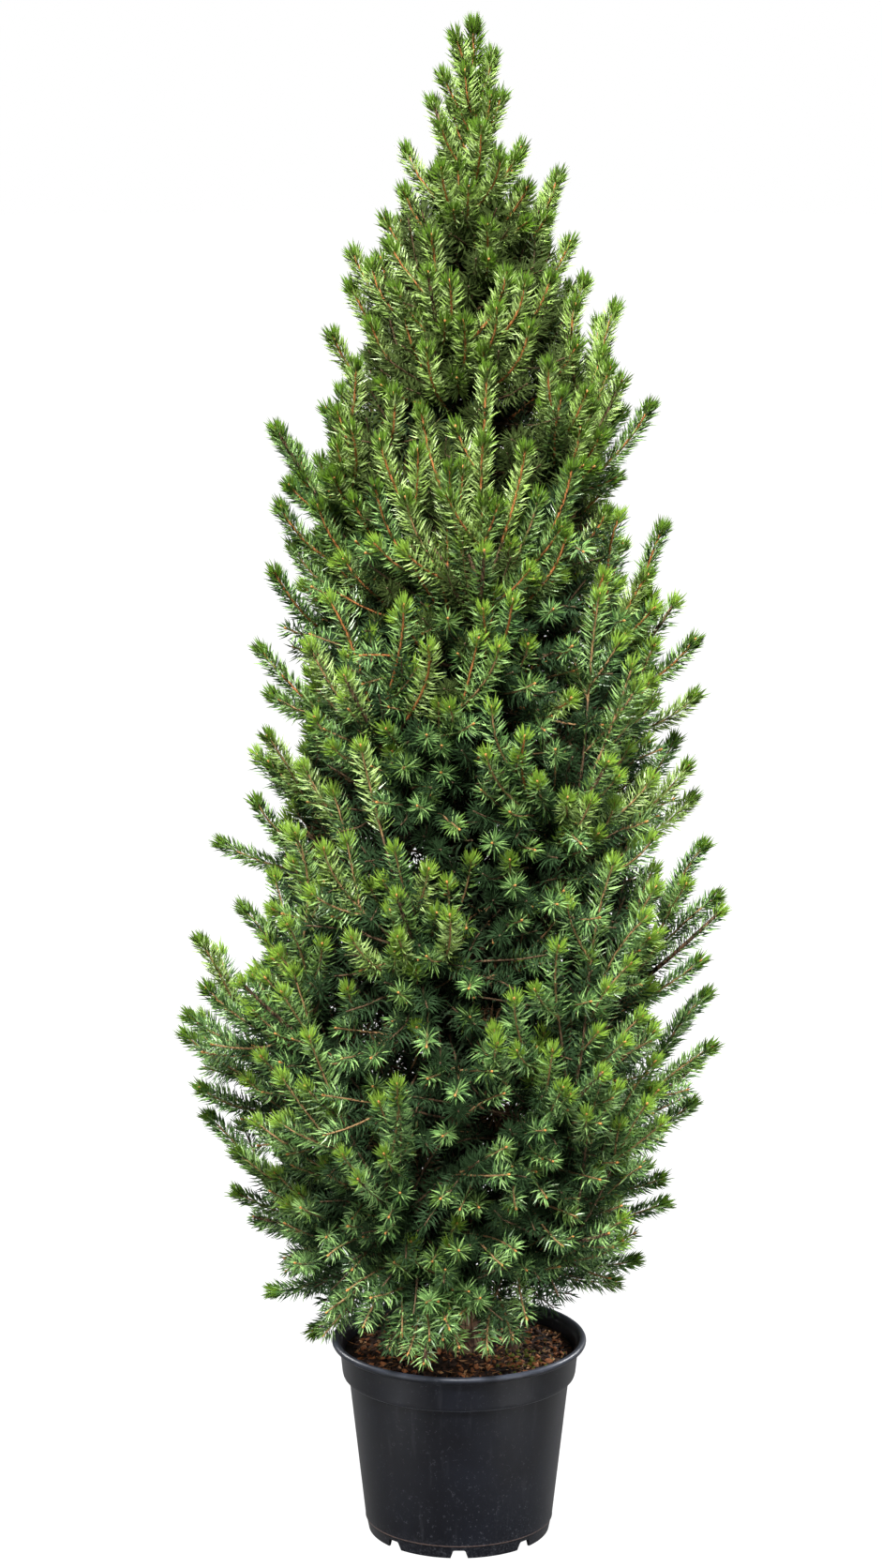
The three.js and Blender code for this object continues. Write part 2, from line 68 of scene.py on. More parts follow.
# Soil, trunk and crown, as the part's source has them.
SOIL_EDGE_HEIGHT = 189
SOIL_TOP = 194
SOIL_CREST_RADIUS = 34
CROWN_TOP = 1540
TRUNK_TIP = 1425
TRUNK_FLARE_RADIUS = 27
TRUNK_FOOT_RADIUS = 17
TRUNK_TIP_RADIUS = 3.4
FLARE_HEIGHT = 34
TRUNK_LEAN = 13
TRUNK_BOW = 7

# The reach of the furthest tips to the left and right of the pot's axis, by height.
CROWN_REACH = np.array([
    (200, 150, 130), (235, 194, 142), (300, 204, 184), (340, 212, 210), (380, 226, 212),
    (415, 242, 224), (440, 260, 240), (525, 282, 257), (600, 267, 252), (650, 247, 261),
    (715, 244, 250), (770, 212, 240), (865, 198, 241), (930, 197, 234), (990, 184, 198),
    (1045, 180, 204), (1090, 178, 172), (1145, 180, 190), (1190, 134, 160), (1245, 126, 153),
    (1310, 110, 118), (1360, 76, 99), (1395, 60, 94), (1430, 34, 54), (1500, 14, 38), (1540, 0, 26),
], float)
# The rise of the shoots above level, by height.
SHOOT_RISE = np.array([
    (200, -28), (250, -8), (300, 14), (400, 34), (600, 44), (800, 52), (1100, 61), (1300, 70), (1540, 84),
], float)
# How far the crown's sides stand back between their longest shoots, as a share of the reach, by height.
SIDE_HOLLOW = np.array([
    (300, 0.03), (450, 0.1), (700, 0.105), (900, 0.095), (1080, 0.13), (1300, 0.1),
], float)
# A tip lies at the crown's side past this share of the reach to the left or right.
SIDE_SHARE = 0.62
# A shoot behind the axis shows higher in the photograph by this share of its depth.
VIEW_SLOPE = 0.2
TOP_WEIGHT = 80
LIMBS = 29
LIMB_PHASE = 4.8
BOUGH_TOP = 1090
LOWEST_ROOT = 222
ROOT_STEP = 13
BOUGH_SHARE = 0.36
BOUGH_ROOT_RADIUS = 6.2
STEM_RADIUS = 3.6
LIMB_TIP_RADIUS = 1.5

# Tips of the shoots that make the crown's outline, as distance from the axis and height.
LEFT_SHOOTS = [
    (22, 1476), (58, 1408), (60, 1366), (78, 1338), (110, 1308), (113, 1278), (130, 1226), (136, 1157),
    (185, 1133), (181, 1058), (169, 1020), (186, 992), (201, 916), (195, 872), (194, 830), (196, 803),
    (208, 764), (245, 719), (223, 654), (267, 619), (256, 576), (274, 547), (282, 521), (265, 471),
    (259, 439), (229, 402), (232, 355), (209, 321), (197, 248), (155, 206),
]
RIGHT_SHOOTS = [
    (37, 1497), (46, 1458), (65, 1409), (101, 1382), (89, 1340), (113, 1319), (127, 1281),
    (157, 1254), (145, 1208), (191, 1157), (159, 1089), (205, 1038), (189, 990), (197, 956), (235, 926),
    (242, 870), (222, 825), (231, 799), (238, 767), (248, 719), (262, 666), (245, 602), (257, 562),
    (258, 513), (242, 449), (209, 376), (214, 349), (184, 288), (165, 262),
]
# Tips of the shoots on the crown's front, as distance to the right of the axis and height: most face out
# below the top, and the second list stands up.
FRONT_SHOOTS = [
    (43, 1299), (3, 1257), (65, 1249), (-32, 1230), (25, 1211), (97, 1186), (-76, 1147), (21, 1150),
    (21, 1091), (74, 1092), (101, 1057), (21, 990), (133, 995), (-12, 982), (70, 922), (-10, 900),
    (30, 901), (165, 929), (105, 906), (-32, 873), (-54, 840), (90, 858), (-41, 805), (-1, 784), (30, 771),
    (52, 732), (92, 712), (-59, 683), (8, 636), (-59, 630), (125, 614), (176, 588), (-5, 534), (-131, 526),
    (44, 478), (-19, 422), (-69, 397), (89, 458), (136, 426), (54, 407), (-1, 363), (54, 360), (-33, 303),
    (20, 308), (100, 358), (27, 245), (-51, 241), (-135, 247), (-113, 563), (-172, 615), (-172, 536),
    (-156, 389), (-129, 342), (135, 490), (182, 497), (115, 765), (180, 685), (133, 694), (-95, 943),
    (-145, 943), (88, 987), (106, 953), (-90, 1039), (-126, 989), (61, 1140), (-10, 1123), (-37, 1173),
    (106, 1118), (83, 1213), (-63, 1187), (-81, 1102), (34, 1267), (-10, 1293), (61, 1291), (-28, 1334),
    (26, 1343), (8, 1378), (20, 1431), (-18, 1394), (-5, 1516), (-18, 1431), (38, 1402), (64, 1376),
    (-32, 580), (-95, 268), (66, 276), (-10, 272),
]
FRONT_UPRIGHT = [
    (-52, 1094), (-54, 993), (-30, 956), (37, 957), (49, 999), (-95, 858), (24, 856), (-63, 764),
    (-10, 707), (-104, 679), (-131, 756), (93, 673), (51, 626), (-140, 877), (61, 873), (124, 805),
    (147, 744), (88, 573), (98, 536), (-145, 581), (-73, 472), (35, 584),
]

# The leader: its foot, how far its new and old needles reach behind its tip, and the shoots that hug it.
LEADER_FOOT = 1250
LEADER_NEW = 120
LEADER_OLD = 275
LEADER_SHOOTS = 15
LEADER_SHOOTS_FROM = 1290
LEADER_SHOOTS_RUN = 170
LEADER_SHOOT_LENGTH = 74
LEADER_SHOOT_SHORTER = 26
# Drooping shoots round the back of the crown's foot.
FOOT_SHOOTS = 9
FOOT_HEIGHT = 252
# Tips of the outline stand this far before or behind the axis, and their tufts reach this far past them.
OUTLINE_DEPTH = 0.28
TUFT_REACH = 6.0
# Depths of the tips between the placed ones, as the least share of the reach and what is added to it.
LONG_SHARE = 0.4
LONG_DEPTHS = (0.93, 0.06)
SHORT_DEPTHS = (0.74, 0.12)
SPIKE_DEPTH = 0.94
COVER_DEPTH = 0.84
# The shares of the reach at which the sides are flat for these tips.
FILL_FLAT = 0.86
COVER_FLAT = 0.9
# Places that are tried for more rosettes, and how far they keep from every tip, in millimetres.
COVER_TRIALS = 900
COVER_SPACING = 38
COVER_HEIGHTS = (300, 1330)
INNER_HEIGHTS = (240, 1370)
# Places a twig can grow from: shares of a limb's length, and heights on the trunk.
LIMB_FEET = np.arange(0.24, 0.88, 0.04)
TRUNK_FEET = np.arange(260, 1500, 14)

# What shoots add to the rise at their height, in degrees, as a middle and a spread.
DROOPING = (-36, 5)
AS_RULED = (3, 6)
SWEPT_UP = (9, 6)
AT_SPIRE = (-7, 6)
AT_SIDE = (4, 7)
STANDING = (14, 6)
FACING_OUT = (-34, 11)
COVER_OUT = (-28, 8)
COVER_UP = (8, 6)
# The costs that choose a twig's foot, and the limits past which they count.
SPAN_SCALE = 110
OFF_HEADING = 4.5
TURNING_BACK = 1.3
LEAST_FOLLOWING = 0.45
SHORTEST_SPAN = 45
TOO_SHORT = 5
NEAR_SURFACE = 4
FOOT_DEPTH = 0.78
CROWDING = 0.25

# Heights in millimetres at which the growth changes.
DROOP_BELOW = 280
OVER_RIM_BELOW = 300
LOW_BELOW = 330
RIM_TONES_BELOW = 340
BLUE_BELOW = 640
UPPER_TWIGS_ABOVE = 960
DUSK_ABOVE = 1000
UPRIGHT_ABOVE = 1040
BRUSHES_ABOVE = 1060
FRESH_ABOVE = 1150
SPIRE_ABOVE = 1300
LOWEST_TIP = 212
# Needles stay clear of the pot's lip and wall.
LIP_CLEAR_HEIGHT = 208
LIP_CLEAR_RADIUS = 133
LOWEST_NEEDLE = 150

# Needles for each millimetre of a shoot.
UPPER_BRUSH = 2.6
OUTLINE_BRUSH = 3.3
LEADER_BRUSH = 4.2
ROSETTE = 2.0
RIM_SHOOT = 1.8
BEHIND_ROSETTE = 1.3
PLAIN_SHOOT = 1.8
SECOND_YEAR = 1.2
THIRD_YEAR = 0.6
# How far behind the tip a rosette, and behind the shoot the second and third year's needles, reach.
ROSETTE_DEPTH = 24
SECOND_YEAR_REACH = 70
THIRD_YEAR_REACH = 150
BARE_FOOT = 8
# A shoot that rises less than this faces out and ends in a rosette.
ROSETTE_RISE = 0.55
# Tufts: how many needles, how far behind the tip, their angles off it and how these open, and their sizes.
LEADER_TUFT = 110
BRUSH_TUFT = 50
SHOOT_TUFT = 38
TUFT_DEPTH = (0.3, 10)
TUFT_ANGLES = (6, 40)
TUFT_OPENING = 2.4
TUFT_SIZES = (0.74, 0.96)
# Where the shoot's own needles start behind the tuft, and where along a needle it is widest.
TUFT_ROOM = 3
WIDEST_AT = 0.45
# A needle's size at the tip, the runs over which needles grow and open, and how much all of it varies.
TIP_NEEDLE = 0.66
GROWING_RUN = 12
OPENING_RUN = 10
NEEDLE_SIZES = (0.76, 1.1)
PLACE_BLUR = 0.6
ANGLE_BLUR = 11
TURN_BLUR = 0.35
NEEDLE_LIFT = [0, 0, 0.1]
NEEDLE_FOOT = 0.7
# Deep needles are broader, and only a share of them is kept; they take the darkened shade tone, which is
# painted shade in the crown's depth. Some sprays of them have turned brown.
DEEP_WIDTH = 1.7
DEEP_SHARE = 0.38
DEEP_BLUR = 9
BROWN_SHARE = 0.1
# Side shoots: their place behind the tip in shoot lengths, their length and their odds.
SIDE_PLAN = ((0.95, 64, 0.62), (1.02, 64, 0.62), (1.6, 72, 0.5), (2.1, 72, 0.4))
# How these places and lengths vary, the turns and leans in degrees, and the room left at the twig's foot.
SIDE_PLACES = (0.93, 1.07)
SIDE_LENGTHS = (0.78, 1.22)
SIDE_TURNS = (35, 115)
SIDE_LEANS = (28, 46)
SIDE_ROOM = 22
SIDE_SHORTER = 0.72
# Radii of twigs at their foot and tip, and how much stouter the upper ones are.
TWIG_RADII = (1.7, 0.85)
SIDE_TWIG_RADII = (1.3, 0.85)
INNER_TWIG_RADII = (1.6, 0.8)
LEADER_RADII = (2.6, 1.2)
UPPER_STOUTER = 1.2
# The lengths of shoots and the reach of their twigs, by height.
SHOOT_LENGTHS = np.array([(200, 66), (400, 86), (900, 98), (1200, 104), (1500, 84)], float)
TWIG_REACHES = np.array([(200, 130), (500, 170), (1200, 150), (1450, 80)], float)
# How far apart the tips between the placed ones are, by height.
FILL_SPACING = np.array([(950, 36), (1100, 52)], float)

# Tones by their odds, as running sums.
TONE_BLUR = 60
FRESH_TONES = (("fresh", 0.6), ("olive", 1))
ROSETTE_TONES = (("mint", 0.34), ("cool", 0.72), ("green", 1))
MIDDLE_TONES = (("green", 0.5), ("cool", 0.72), ("olive", 1))
LOW_TONES = (("cool", 0.35), ("blue", 0.65), ("green", 1))
# Tones of the dull needles under the surface: dusk, dim and shade are darkened, partly for the duller colour
# of older needles and partly as painted shade, and old is the real brown of ageing ones. The paler needles
# mixed into the outer tones are partly painted highlight, and the darker ones are painted shade.
SHADED_AND_OLD_TONES = ("dusk", "dim", "shade", "old")
# Paler copies of the outer tones, dealt to a share of the needles: partly the pale bands of real needles,
# partly painted highlight.
PALE_AND_HIGHLIGHT_TONES = {
    "fresh": "straw", "olive": "straw", "green": "mist", "cool": "mist", "blue": "mist", "mint": "mist",
}
# Darker copies of the outer tones, dealt to a share of the needles: painted shade.
PAINTED_SHADE_TONES = {
    "fresh": "dusk", "olive": "dusk", "crest": "dusk",
    "green": "dim", "cool": "dim", "blue": "dim", "mint": "dim",
}
PALE_AND_HIGHLIGHT_SHARE = 0.3
PAINTED_SHADE_SHARE = 0.2

# Shells of shoots under the surface: their depth, how many, needles for each millimetre, the length and
# width of these against an outer needle's, and what the shoots add to the rise at their height.
INNER_SHELLS = [
    (0.88, 640, 1.5, 1.0, 1.0, -30), (0.76, 460, 1.3, 1.05, 1.3, -26), (0.6, 260, 0.8, 1.25, 2.2, -12),
    (0.4, 160, 0.65, 1.35, 2.6, -12), (0.22, 80, 0.6, 1.35, 2.6, -12),
]

# The reach of the inner shoots' twigs, and the runs that they clothe in the outer and inner shells.
INNER_REACH = 100
OUTER_SHELL_RUN = 75
INNER_SHELL_RUN = 200

# The soil's level by distance from the axis, the waves of its lumps and crumbs, and its body in the pot.
SOIL_RINGS = (0, SOIL_CREST_RADIUS, 84, 117)
SOIL_LEVELS = (SOIL_TOP, SOIL_TOP, SOIL_EDGE_HEIGHT + 2, SOIL_EDGE_HEIGHT)
LUMP_WIDTH = 14
LUMP_HEIGHT = 2.6
CRUMB_WIDTH = 4.6
CRUMB_HEIGHT = 1.3
SOIL_EDGE = 116.3
SOIL_FLOOR = 150
SOIL_FLOOR_RADIUS = 104.5
# What lies strewn on it: piece, how many, colour, shortest and longest, and thickness against length.
CHIPS = (
    ("soil_chips_dark", 520, (56, 36, 25), (3.4, 9.0), 0.5),
    ("soil_chips_red", 400, (148, 92, 55), (3.2, 9.5), 0.4),
    ("soil_chips_tan", 130, (202, 153, 104), (2.6, 7.0), 0.35),
    ("soil_crumbs_black", 420, (22, 15, 11), (2.6, 6.0), 0.8),
)
FALLEN_NEEDLES = 260
MOSS_LUMPS = 90
STREWN_FROM = 26
STREWN_TO = 110
NOTCHES = 8

# The stage: floor and room, then the lights as name, place, target, size, power and spread in degrees.
FLOOR_RADIUS = 14
FLOOR_SIDES = 64
FLOOR_GREY = 0.115
ROOM_LIGHT = 0.15
LIGHTS = (
    ("key light", (-0.4, -3.6, 4.9), (0, 0, 0.7), 1.0, 830, 180),
    ("top light", (0.9, 0.4, 4.6), (0, 0, 0.5), 1.6, 250, 180),
    ("left rear light", (-2.8, 2.2, 2.4), (0, 0, 0.75), 1.2, 195, 180),
    ("right rear light", (2.8, 2.2, 2.4), (0, 0, 0.75), 1.2, 245, 180),
    ("left fill", (-2.4, -2.2, 0.9), (0, 0, 0.3), 0.9, 2.2, 40),
    ("right fill", (2.4, -2.2, 0.9), (0, 0, 0.3), 0.9, 3.0, 40),
    ("left floor light", (-0.85, -0.66, 0.5), (-0.42, -0.32, 0), 0.14, 6, 28),
    ("right floor light", (0.85, -0.66, 0.5), (0.42, -0.34, 0), 0.14, 7, 28),
)
CAMERA_PLACE = (-0.0184, -4.5, 1.78)
CAMERA_DOWN = 12.52
CAMERA_LENS = 106.6

FOLIAGE_NODES = sorted(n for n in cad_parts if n.startswith("foliage") or n == "leader")
WOOD_NODES = sorted(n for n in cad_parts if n.startswith("bough") or n == "trunk")


def tint(red, green, blue):
    """A screen colour from 0 to 255 as the linear colour that a shader takes."""
    def linear(value):
        share = value / 255
        return share / 12.92 if share <= 0.04045 else ((share + 0.055) / 1.055) ** 2.4

    return (linear(red), linear(green), linear(blue))


def colour_property(label, meaning, shade):
    return bpy.props.FloatVectorProperty(
        name=label, description=meaning, default=tint(*shade), size=3, min=0, max=1, subtype="COLOR"
    )


def length_property(label, meaning, value):
    return bpy.props.FloatProperty(name=label, description=meaning, default=value, min=0, unit="LENGTH")


class SPRUCE_PG_pot(bpy.types.PropertyGroup):
    """Sizes of the nursery pot."""

    height: length_property("Height", "From the floor to the top of the lip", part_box("pot")[1].z)
    lip_radius: length_property("Lip radius", "Furthest reach of the rolled lip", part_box("pot")[1].x)
    lip_roll: length_property("Lip roll", "Radius of the roll in section", 0.0036)
    wall: length_property("Wall", "Thickness of the plastic", 0.0026)
    band_height: length_property("Band height", "From the band's foot to the top of the lip", 0.040)
    band_top_radius: length_property("Band top radius", "Band's radius under the lip", 0.122)
    band_foot_radius: length_property("Band foot radius", "Band's radius above its step", 0.119)
    wall_top_radius: length_property("Wall top radius", "Plain wall's radius under the band", 0.1125)
    seam_radius: length_property("Seam radius", "Radius at the seam above the foot", 0.0958)
    seam_height: length_property("Seam height", "Height of the seam above the floor", 0.014)
    foot_radius: length_property("Foot radius", "Radius of the foot ring", 0.0925)
    notch_height: length_property("Notch height", "Height of the drain notches", 0.009)
    notch_width: length_property("Notch width", "Width of a drain notch at its top", 0.0135)


class SPRUCE_PG_crown(bpy.types.PropertyGroup):
    """Sizes of the shoots, twigs and needles."""

    needle_length: length_property("Needle length", "Length of a full grown needle", 0.0176)
    needle_width: length_property("Needle width", "Width of a needle at its middle", 0.0016)
    needle_bow: bpy.props.FloatProperty(
        name="Needle bow", description="How far a needle bows, in needle widths", default=0.8, min=0.1
    )
    bud_width: length_property("Bud width", "Width of a bud", 0.0028)
    bud_length: length_property("Bud length", "Length of a bud", 0.005)
    # Needles buried deeper than this take the darkened shade tone: painted shade, besides the real dulling of
    # old needles.
    shade_depth: length_property("Shade depth", "How deep in the crown needles turn old and dark", 0.078)
    fill_shoots: bpy.props.IntProperty(
        name="Fill shoots", description="Tips spread between the placed ones", default=420, min=0
    )


class SPRUCE_PG_colours(bpy.types.PropertyGroup):
    """Colours of the plant and its pot."""

    # The top and outline tufts are darkened: partly their own colour, partly painted shade of the backlit
    # top.
    crest: colour_property("Top tufts", "Tufts of the top and of the outline", (82, 114, 28))
    light: colour_property("Fresh tufts", "Tufts of the newest growth on the crown's face", (118, 150, 50))
    # straw and mist: partly the pale bands of real needles, partly painted highlight.
    straw: colour_property("Upper pale", "Pale needles mixed into the upper crown", (162, 187, 114))
    mist: colour_property("Lower pale", "Pale needles mixed into the lower crown", (134, 168, 98))
    mint: colour_property("Pale rosettes", "Brighter rosettes of the lower crown", (94, 130, 70))
    fresh: colour_property("Upper green", "Brighter needles of the upper crown", (138, 168, 80))
    olive: colour_property("Upper olive", "Duller needles of the upper crown", (120, 146, 68))
    green: colour_property("Middle green", "Needles of the middle crown", (82, 111, 46))
    cool: colour_property("Cool green", "Cooler needles of the middle crown", (74, 108, 52))
    blue: colour_property("Low green", "Bluish needles of the low crown", (82, 116, 63))
    # dusk, dim and shade are darkened partly for the duller colour of older needles and partly as painted
    # shade under the crown's surface; old is the real brown of ageing needles.
    dusk: colour_property("Second olive", "Needles under the surface of the upper crown", (60, 74, 34))
    dim: colour_property("Second green", "Needles under the surface of the lower crown", (40, 61, 34))
    shade: colour_property("Inner green", "Old needles inside the crown", (33, 48, 27))
    old: colour_property("Inner brown", "Ageing needles inside the crown", (74, 56, 36))
    upper_twig: colour_property("Upper twig", "Newest twigs high on the plant", (160, 102, 56))
    young_twig: colour_property("Young twig", "Newest twigs low on the plant", (138, 108, 72))
    old_twig: colour_property("Old twig", "Older twigs, behind the newest", (88, 68, 48))
    bud: colour_property("Bud", "Scales of the resting buds", (178, 124, 66))
    plastic: colour_property("Plastic", "Black plastic of the pot", (9, 10, 15))
    soil: colour_property("Soil", "Damp soil between the chips", (40, 28, 20))


class Wire:
    """One socket's value. Arithmetic on it adds Math nodes."""

    def __init__(self, board, socket):
        self.board = board
        self.socket = socket

    def reckon(self, operation, first, second):
        return self.board.node("ShaderNodeMath", {"operation": operation}, {0: first, 1: second})

    def __add__(self, other):
        return self.reckon("ADD", self, other)

    def __radd__(self, other):
        return self.reckon("ADD", other, self)

    def __sub__(self, other):
        return self.reckon("SUBTRACT", self, other)

    def __rsub__(self, other):
        return self.reckon("SUBTRACT", other, self)

    def __mul__(self, other):
        return self.reckon("MULTIPLY", self, other)

    def __rmul__(self, other):
        return self.reckon("MULTIPLY", other, self)


class Board:
    """A node tree that is filled one node at a time."""

    def __init__(self, tree):
        self.tree = tree

    def node(self, kind, settings=None, sockets=None, out=0):
        made = self.tree.nodes.new(kind)
        for name, value in (settings or {}).items():
            if name == "stops":
                self.set_stops(made.color_ramp, value)
            else:
                setattr(made, name, value)
        for key, value in (sockets or {}).items():
            if isinstance(value, Wire):
                self.tree.links.new(value.socket, made.inputs[key])
            else:
                made.inputs[key].default_value = value
        return Wire(self, made.outputs[out])

    def set_stops(self, ramp, stops):
        while len(ramp.elements) < len(stops):
            ramp.elements.new(0.5)
        for element, (place, colour) in zip(ramp.elements, stops):
            element.position = place
            element.color = (*colour, 1)


class Finish(Board):
    """A material whose patterns lie in the object's own coordinates."""

    def __init__(self, name, colour, roughness, **plain):
        self.material = bpy.data.materials.new(name)
        self.material.use_nodes = True
        super().__init__(self.material.node_tree)
        self.shader = self.tree.nodes["Principled BSDF"]
        self.shader.inputs["Base Color"].default_value = (*colour, 1)
        self.shader.inputs["Roughness"].default_value = roughness
        for name, value in plain.items():
            self.shader.inputs[name.replace("_", " ")].default_value = value

    def feed(self, name, wire):
        self.tree.links.new(wire.socket, self.shader.inputs[name])

    def coordinates(self, stretch=(1, 1, 1)):
        place = self.node("ShaderNodeTexCoord", out=3)
        return self.node("ShaderNodeMapping", {}, {"Vector": place, "Scale": stretch})

    def height(self):
        place = self.node("ShaderNodeTexCoord", out=3)
        return self.node("ShaderNodeSeparateXYZ", {}, {0: place}, out=2)

    def clouds(self, scale, stretch=(1, 1, 1), detail=4.0, rough=0.55):
        place = self.coordinates(stretch)
        sockets = {"Vector": place, "Scale": scale, "Detail": detail, "Roughness": rough}
        return self.node("ShaderNodeTexNoise", {}, sockets)

    def cells(self, scale, stretch=(1, 1, 1), feature="F1"):
        sockets = {"Vector": self.coordinates(stretch), "Scale": scale}
        return self.node("ShaderNodeTexVoronoi", {"feature": feature}, sockets)

    def spread(self, value, low, high):
        sockets = {0: value, 1: low, 2: high}
        return self.node("ShaderNodeMapRange", {"interpolation_type": "SMOOTHSTEP"}, sockets)

    def blend(self, share, first, second):
        first = first if isinstance(first, Wire) else (*first, 1)
        second = second if isinstance(second, Wire) else (*second, 1)
        return self.node("ShaderNodeMix", {"data_type": "RGBA"}, {0: share, 6: first, 7: second}, out=2)

    def relief(self, value, strength, distance):
        sockets = {"Height": value, "Strength": strength, "Distance": distance}
        self.feed("Normal", self.node("ShaderNodeBump", {}, sockets))


def seeded(member, feature):
    """A repeatable number from 0 to 1 for one member and one of its features."""
    return (math.sin(member * 127.1 + feature * 311.7 + SEED) * 43758.5453) % 1.0


def at_height(table, z, column=1):
    return np.interp(z, table[:, 0], table[:, column])


def crown_reach(z):
    return (at_height(CROWN_REACH, z, 2) + at_height(CROWN_REACH, z, 1)) / 2


def crown_shift(z):
    return (at_height(CROWN_REACH, z, 2) - at_height(CROWN_REACH, z, 1)) / 2


AREA_HEIGHTS = np.linspace(CROWN_REACH[0, 0] + 8, CROWN_TOP - 40, 241)
AREA_SUMS = np.concatenate([[0], np.cumsum(crown_reach(AREA_HEIGHTS[1:]) + TOP_WEIGHT)])


def height_at_share(share):
    return AREA_HEIGHTS[np.searchsorted(AREA_SUMS, share * AREA_SUMS[-1])]


def crown_tip(z, turn, depth):
    reach = crown_reach(z) * depth
    return np.array([crown_shift(z) + reach * math.cos(turn), reach * math.sin(turn), z])


def depth_in_crown(points):
    """How far points lie from the crown's middle line, as a share of its reach there."""
    away = np.hypot(points[..., 0] - crown_shift(points[..., 2]), points[..., 1])
    return away / np.maximum(crown_reach(points[..., 2]), 1)


def trunk_point(z):
    share = (z - SOIL_TOP) / (CROWN_TOP - SOIL_TOP)
    bow = math.sin(math.pi * share) * TRUNK_BOW
    return np.array([TRUNK_LEAN * share + bow * 0.6, bow, z])


def trunk_radius(z):
    share = max((z - SOIL_TOP) / (TRUNK_TIP - SOIL_TOP), 0)
    taper = TRUNK_FOOT_RADIUS + (TRUNK_TIP_RADIUS - TRUNK_FOOT_RADIUS) * share**0.85
    return taper + (TRUNK_FLARE_RADIUS - TRUNK_FOOT_RADIUS) * math.exp((SOIL_TOP - z) / (FLARE_HEIGHT / 3))


def unit(vectors):
    return vectors / np.maximum(np.linalg.norm(vectors, axis=-1, keepdims=True), 1e-9)


def bent_path(corners, count):
    """Evenly spaced points on the smooth curve that a few corner points pull into shape."""
    share = np.linspace(0, 1, 48)[:, None]
    rows = [np.broadcast_to(np.asarray(c, float), (48, 3)) for c in corners]
    while len(rows) > 1:
        rows = [a + (b - a) * share for a, b in zip(rows, rows[1:])]
    return even_path(rows[0], count)


def along(run, rows, places):
    """Rows of three numbers, given at distances along a path, read at other places on it."""
    return np.stack([np.interp(places, run, rows[:, k]) for k in range(3)], axis=-1)


def even_path(points, count):
    run = path_run(points)
    return along(run, points, np.linspace(0, run[-1], count))


def path_run(points):
    """The distance along a path at each of its points."""
    return np.concatenate([[0], np.cumsum(np.linalg.norm(np.diff(points, axis=0), axis=1))])


def on_path(points, places):
    """Points and directions on a path at distances from its foot."""
    run = path_run(points)
    ways = unit(np.gradient(points, axis=0))
    return along(run, points, places), unit(along(run, ways, places))


def make_limb(i):
    """One limb runs from the trunk's middle to a tip, hanging back first and then sweeping up."""
    z = height_at_share((i + 0.5) / LIMBS)
    turn = LIMB_PHASE + i * GOLDEN_TURN + 0.5 * (seeded(i, 1) - 0.5)
    tip = crown_tip(z, turn, 1)
    rise = math.radians(at_height(SHOOT_RISE, z) - 7 + 6 * (seeded(i, 2) - 0.5))
    reach = math.hypot(tip[0], tip[1])
    root = max(z - reach * math.tan(rise), LOWEST_ROOT + ROOT_STEP * min(i, 9))
    start = trunk_point(min(root, TRUNK_TIP - 30))
    climb = tip[2] - start[2]
    bend = start + (tip - start) * 0.55
    bend[2] = start[2] + climb * (0.4 if climb > 0 else 0.1) + (0 if climb > 0 else 14)
    return {"path": bent_path([start, bend, tip], 40), "tip": tip, "has_bough": z < BOUGH_TOP}


def flat_side(z, turn, share):
    """The depth at which the crown's left and right sides are flat between their longest shoots."""
    return (share - at_height(SIDE_HOLLOW, z)) / max(abs(math.cos(turn)), 0.1)


def at_side(tip):
    """Whether a tip lies at the crown's left or right side."""
    return abs(tip[0] - crown_shift(tip[2])) > SIDE_SHARE * crown_reach(tip[2])


def nearest(known, tip):
    """The distance from a tip to the nearest known one."""
    return np.min(np.linalg.norm(known - tip, axis=1))


def upper_brush(z):
    return UPPER_BRUSH if z > BRUSHES_ABOVE else 0


def across_and_over(ways, steep):
    """Two directions at right angles to each way and to each other."""
    across = unit(np.cross(np.where(steep, [1.0, 0.0, 0.0], [0.0, 0.0, 1.0]), ways))
    return across, np.cross(ways, across)


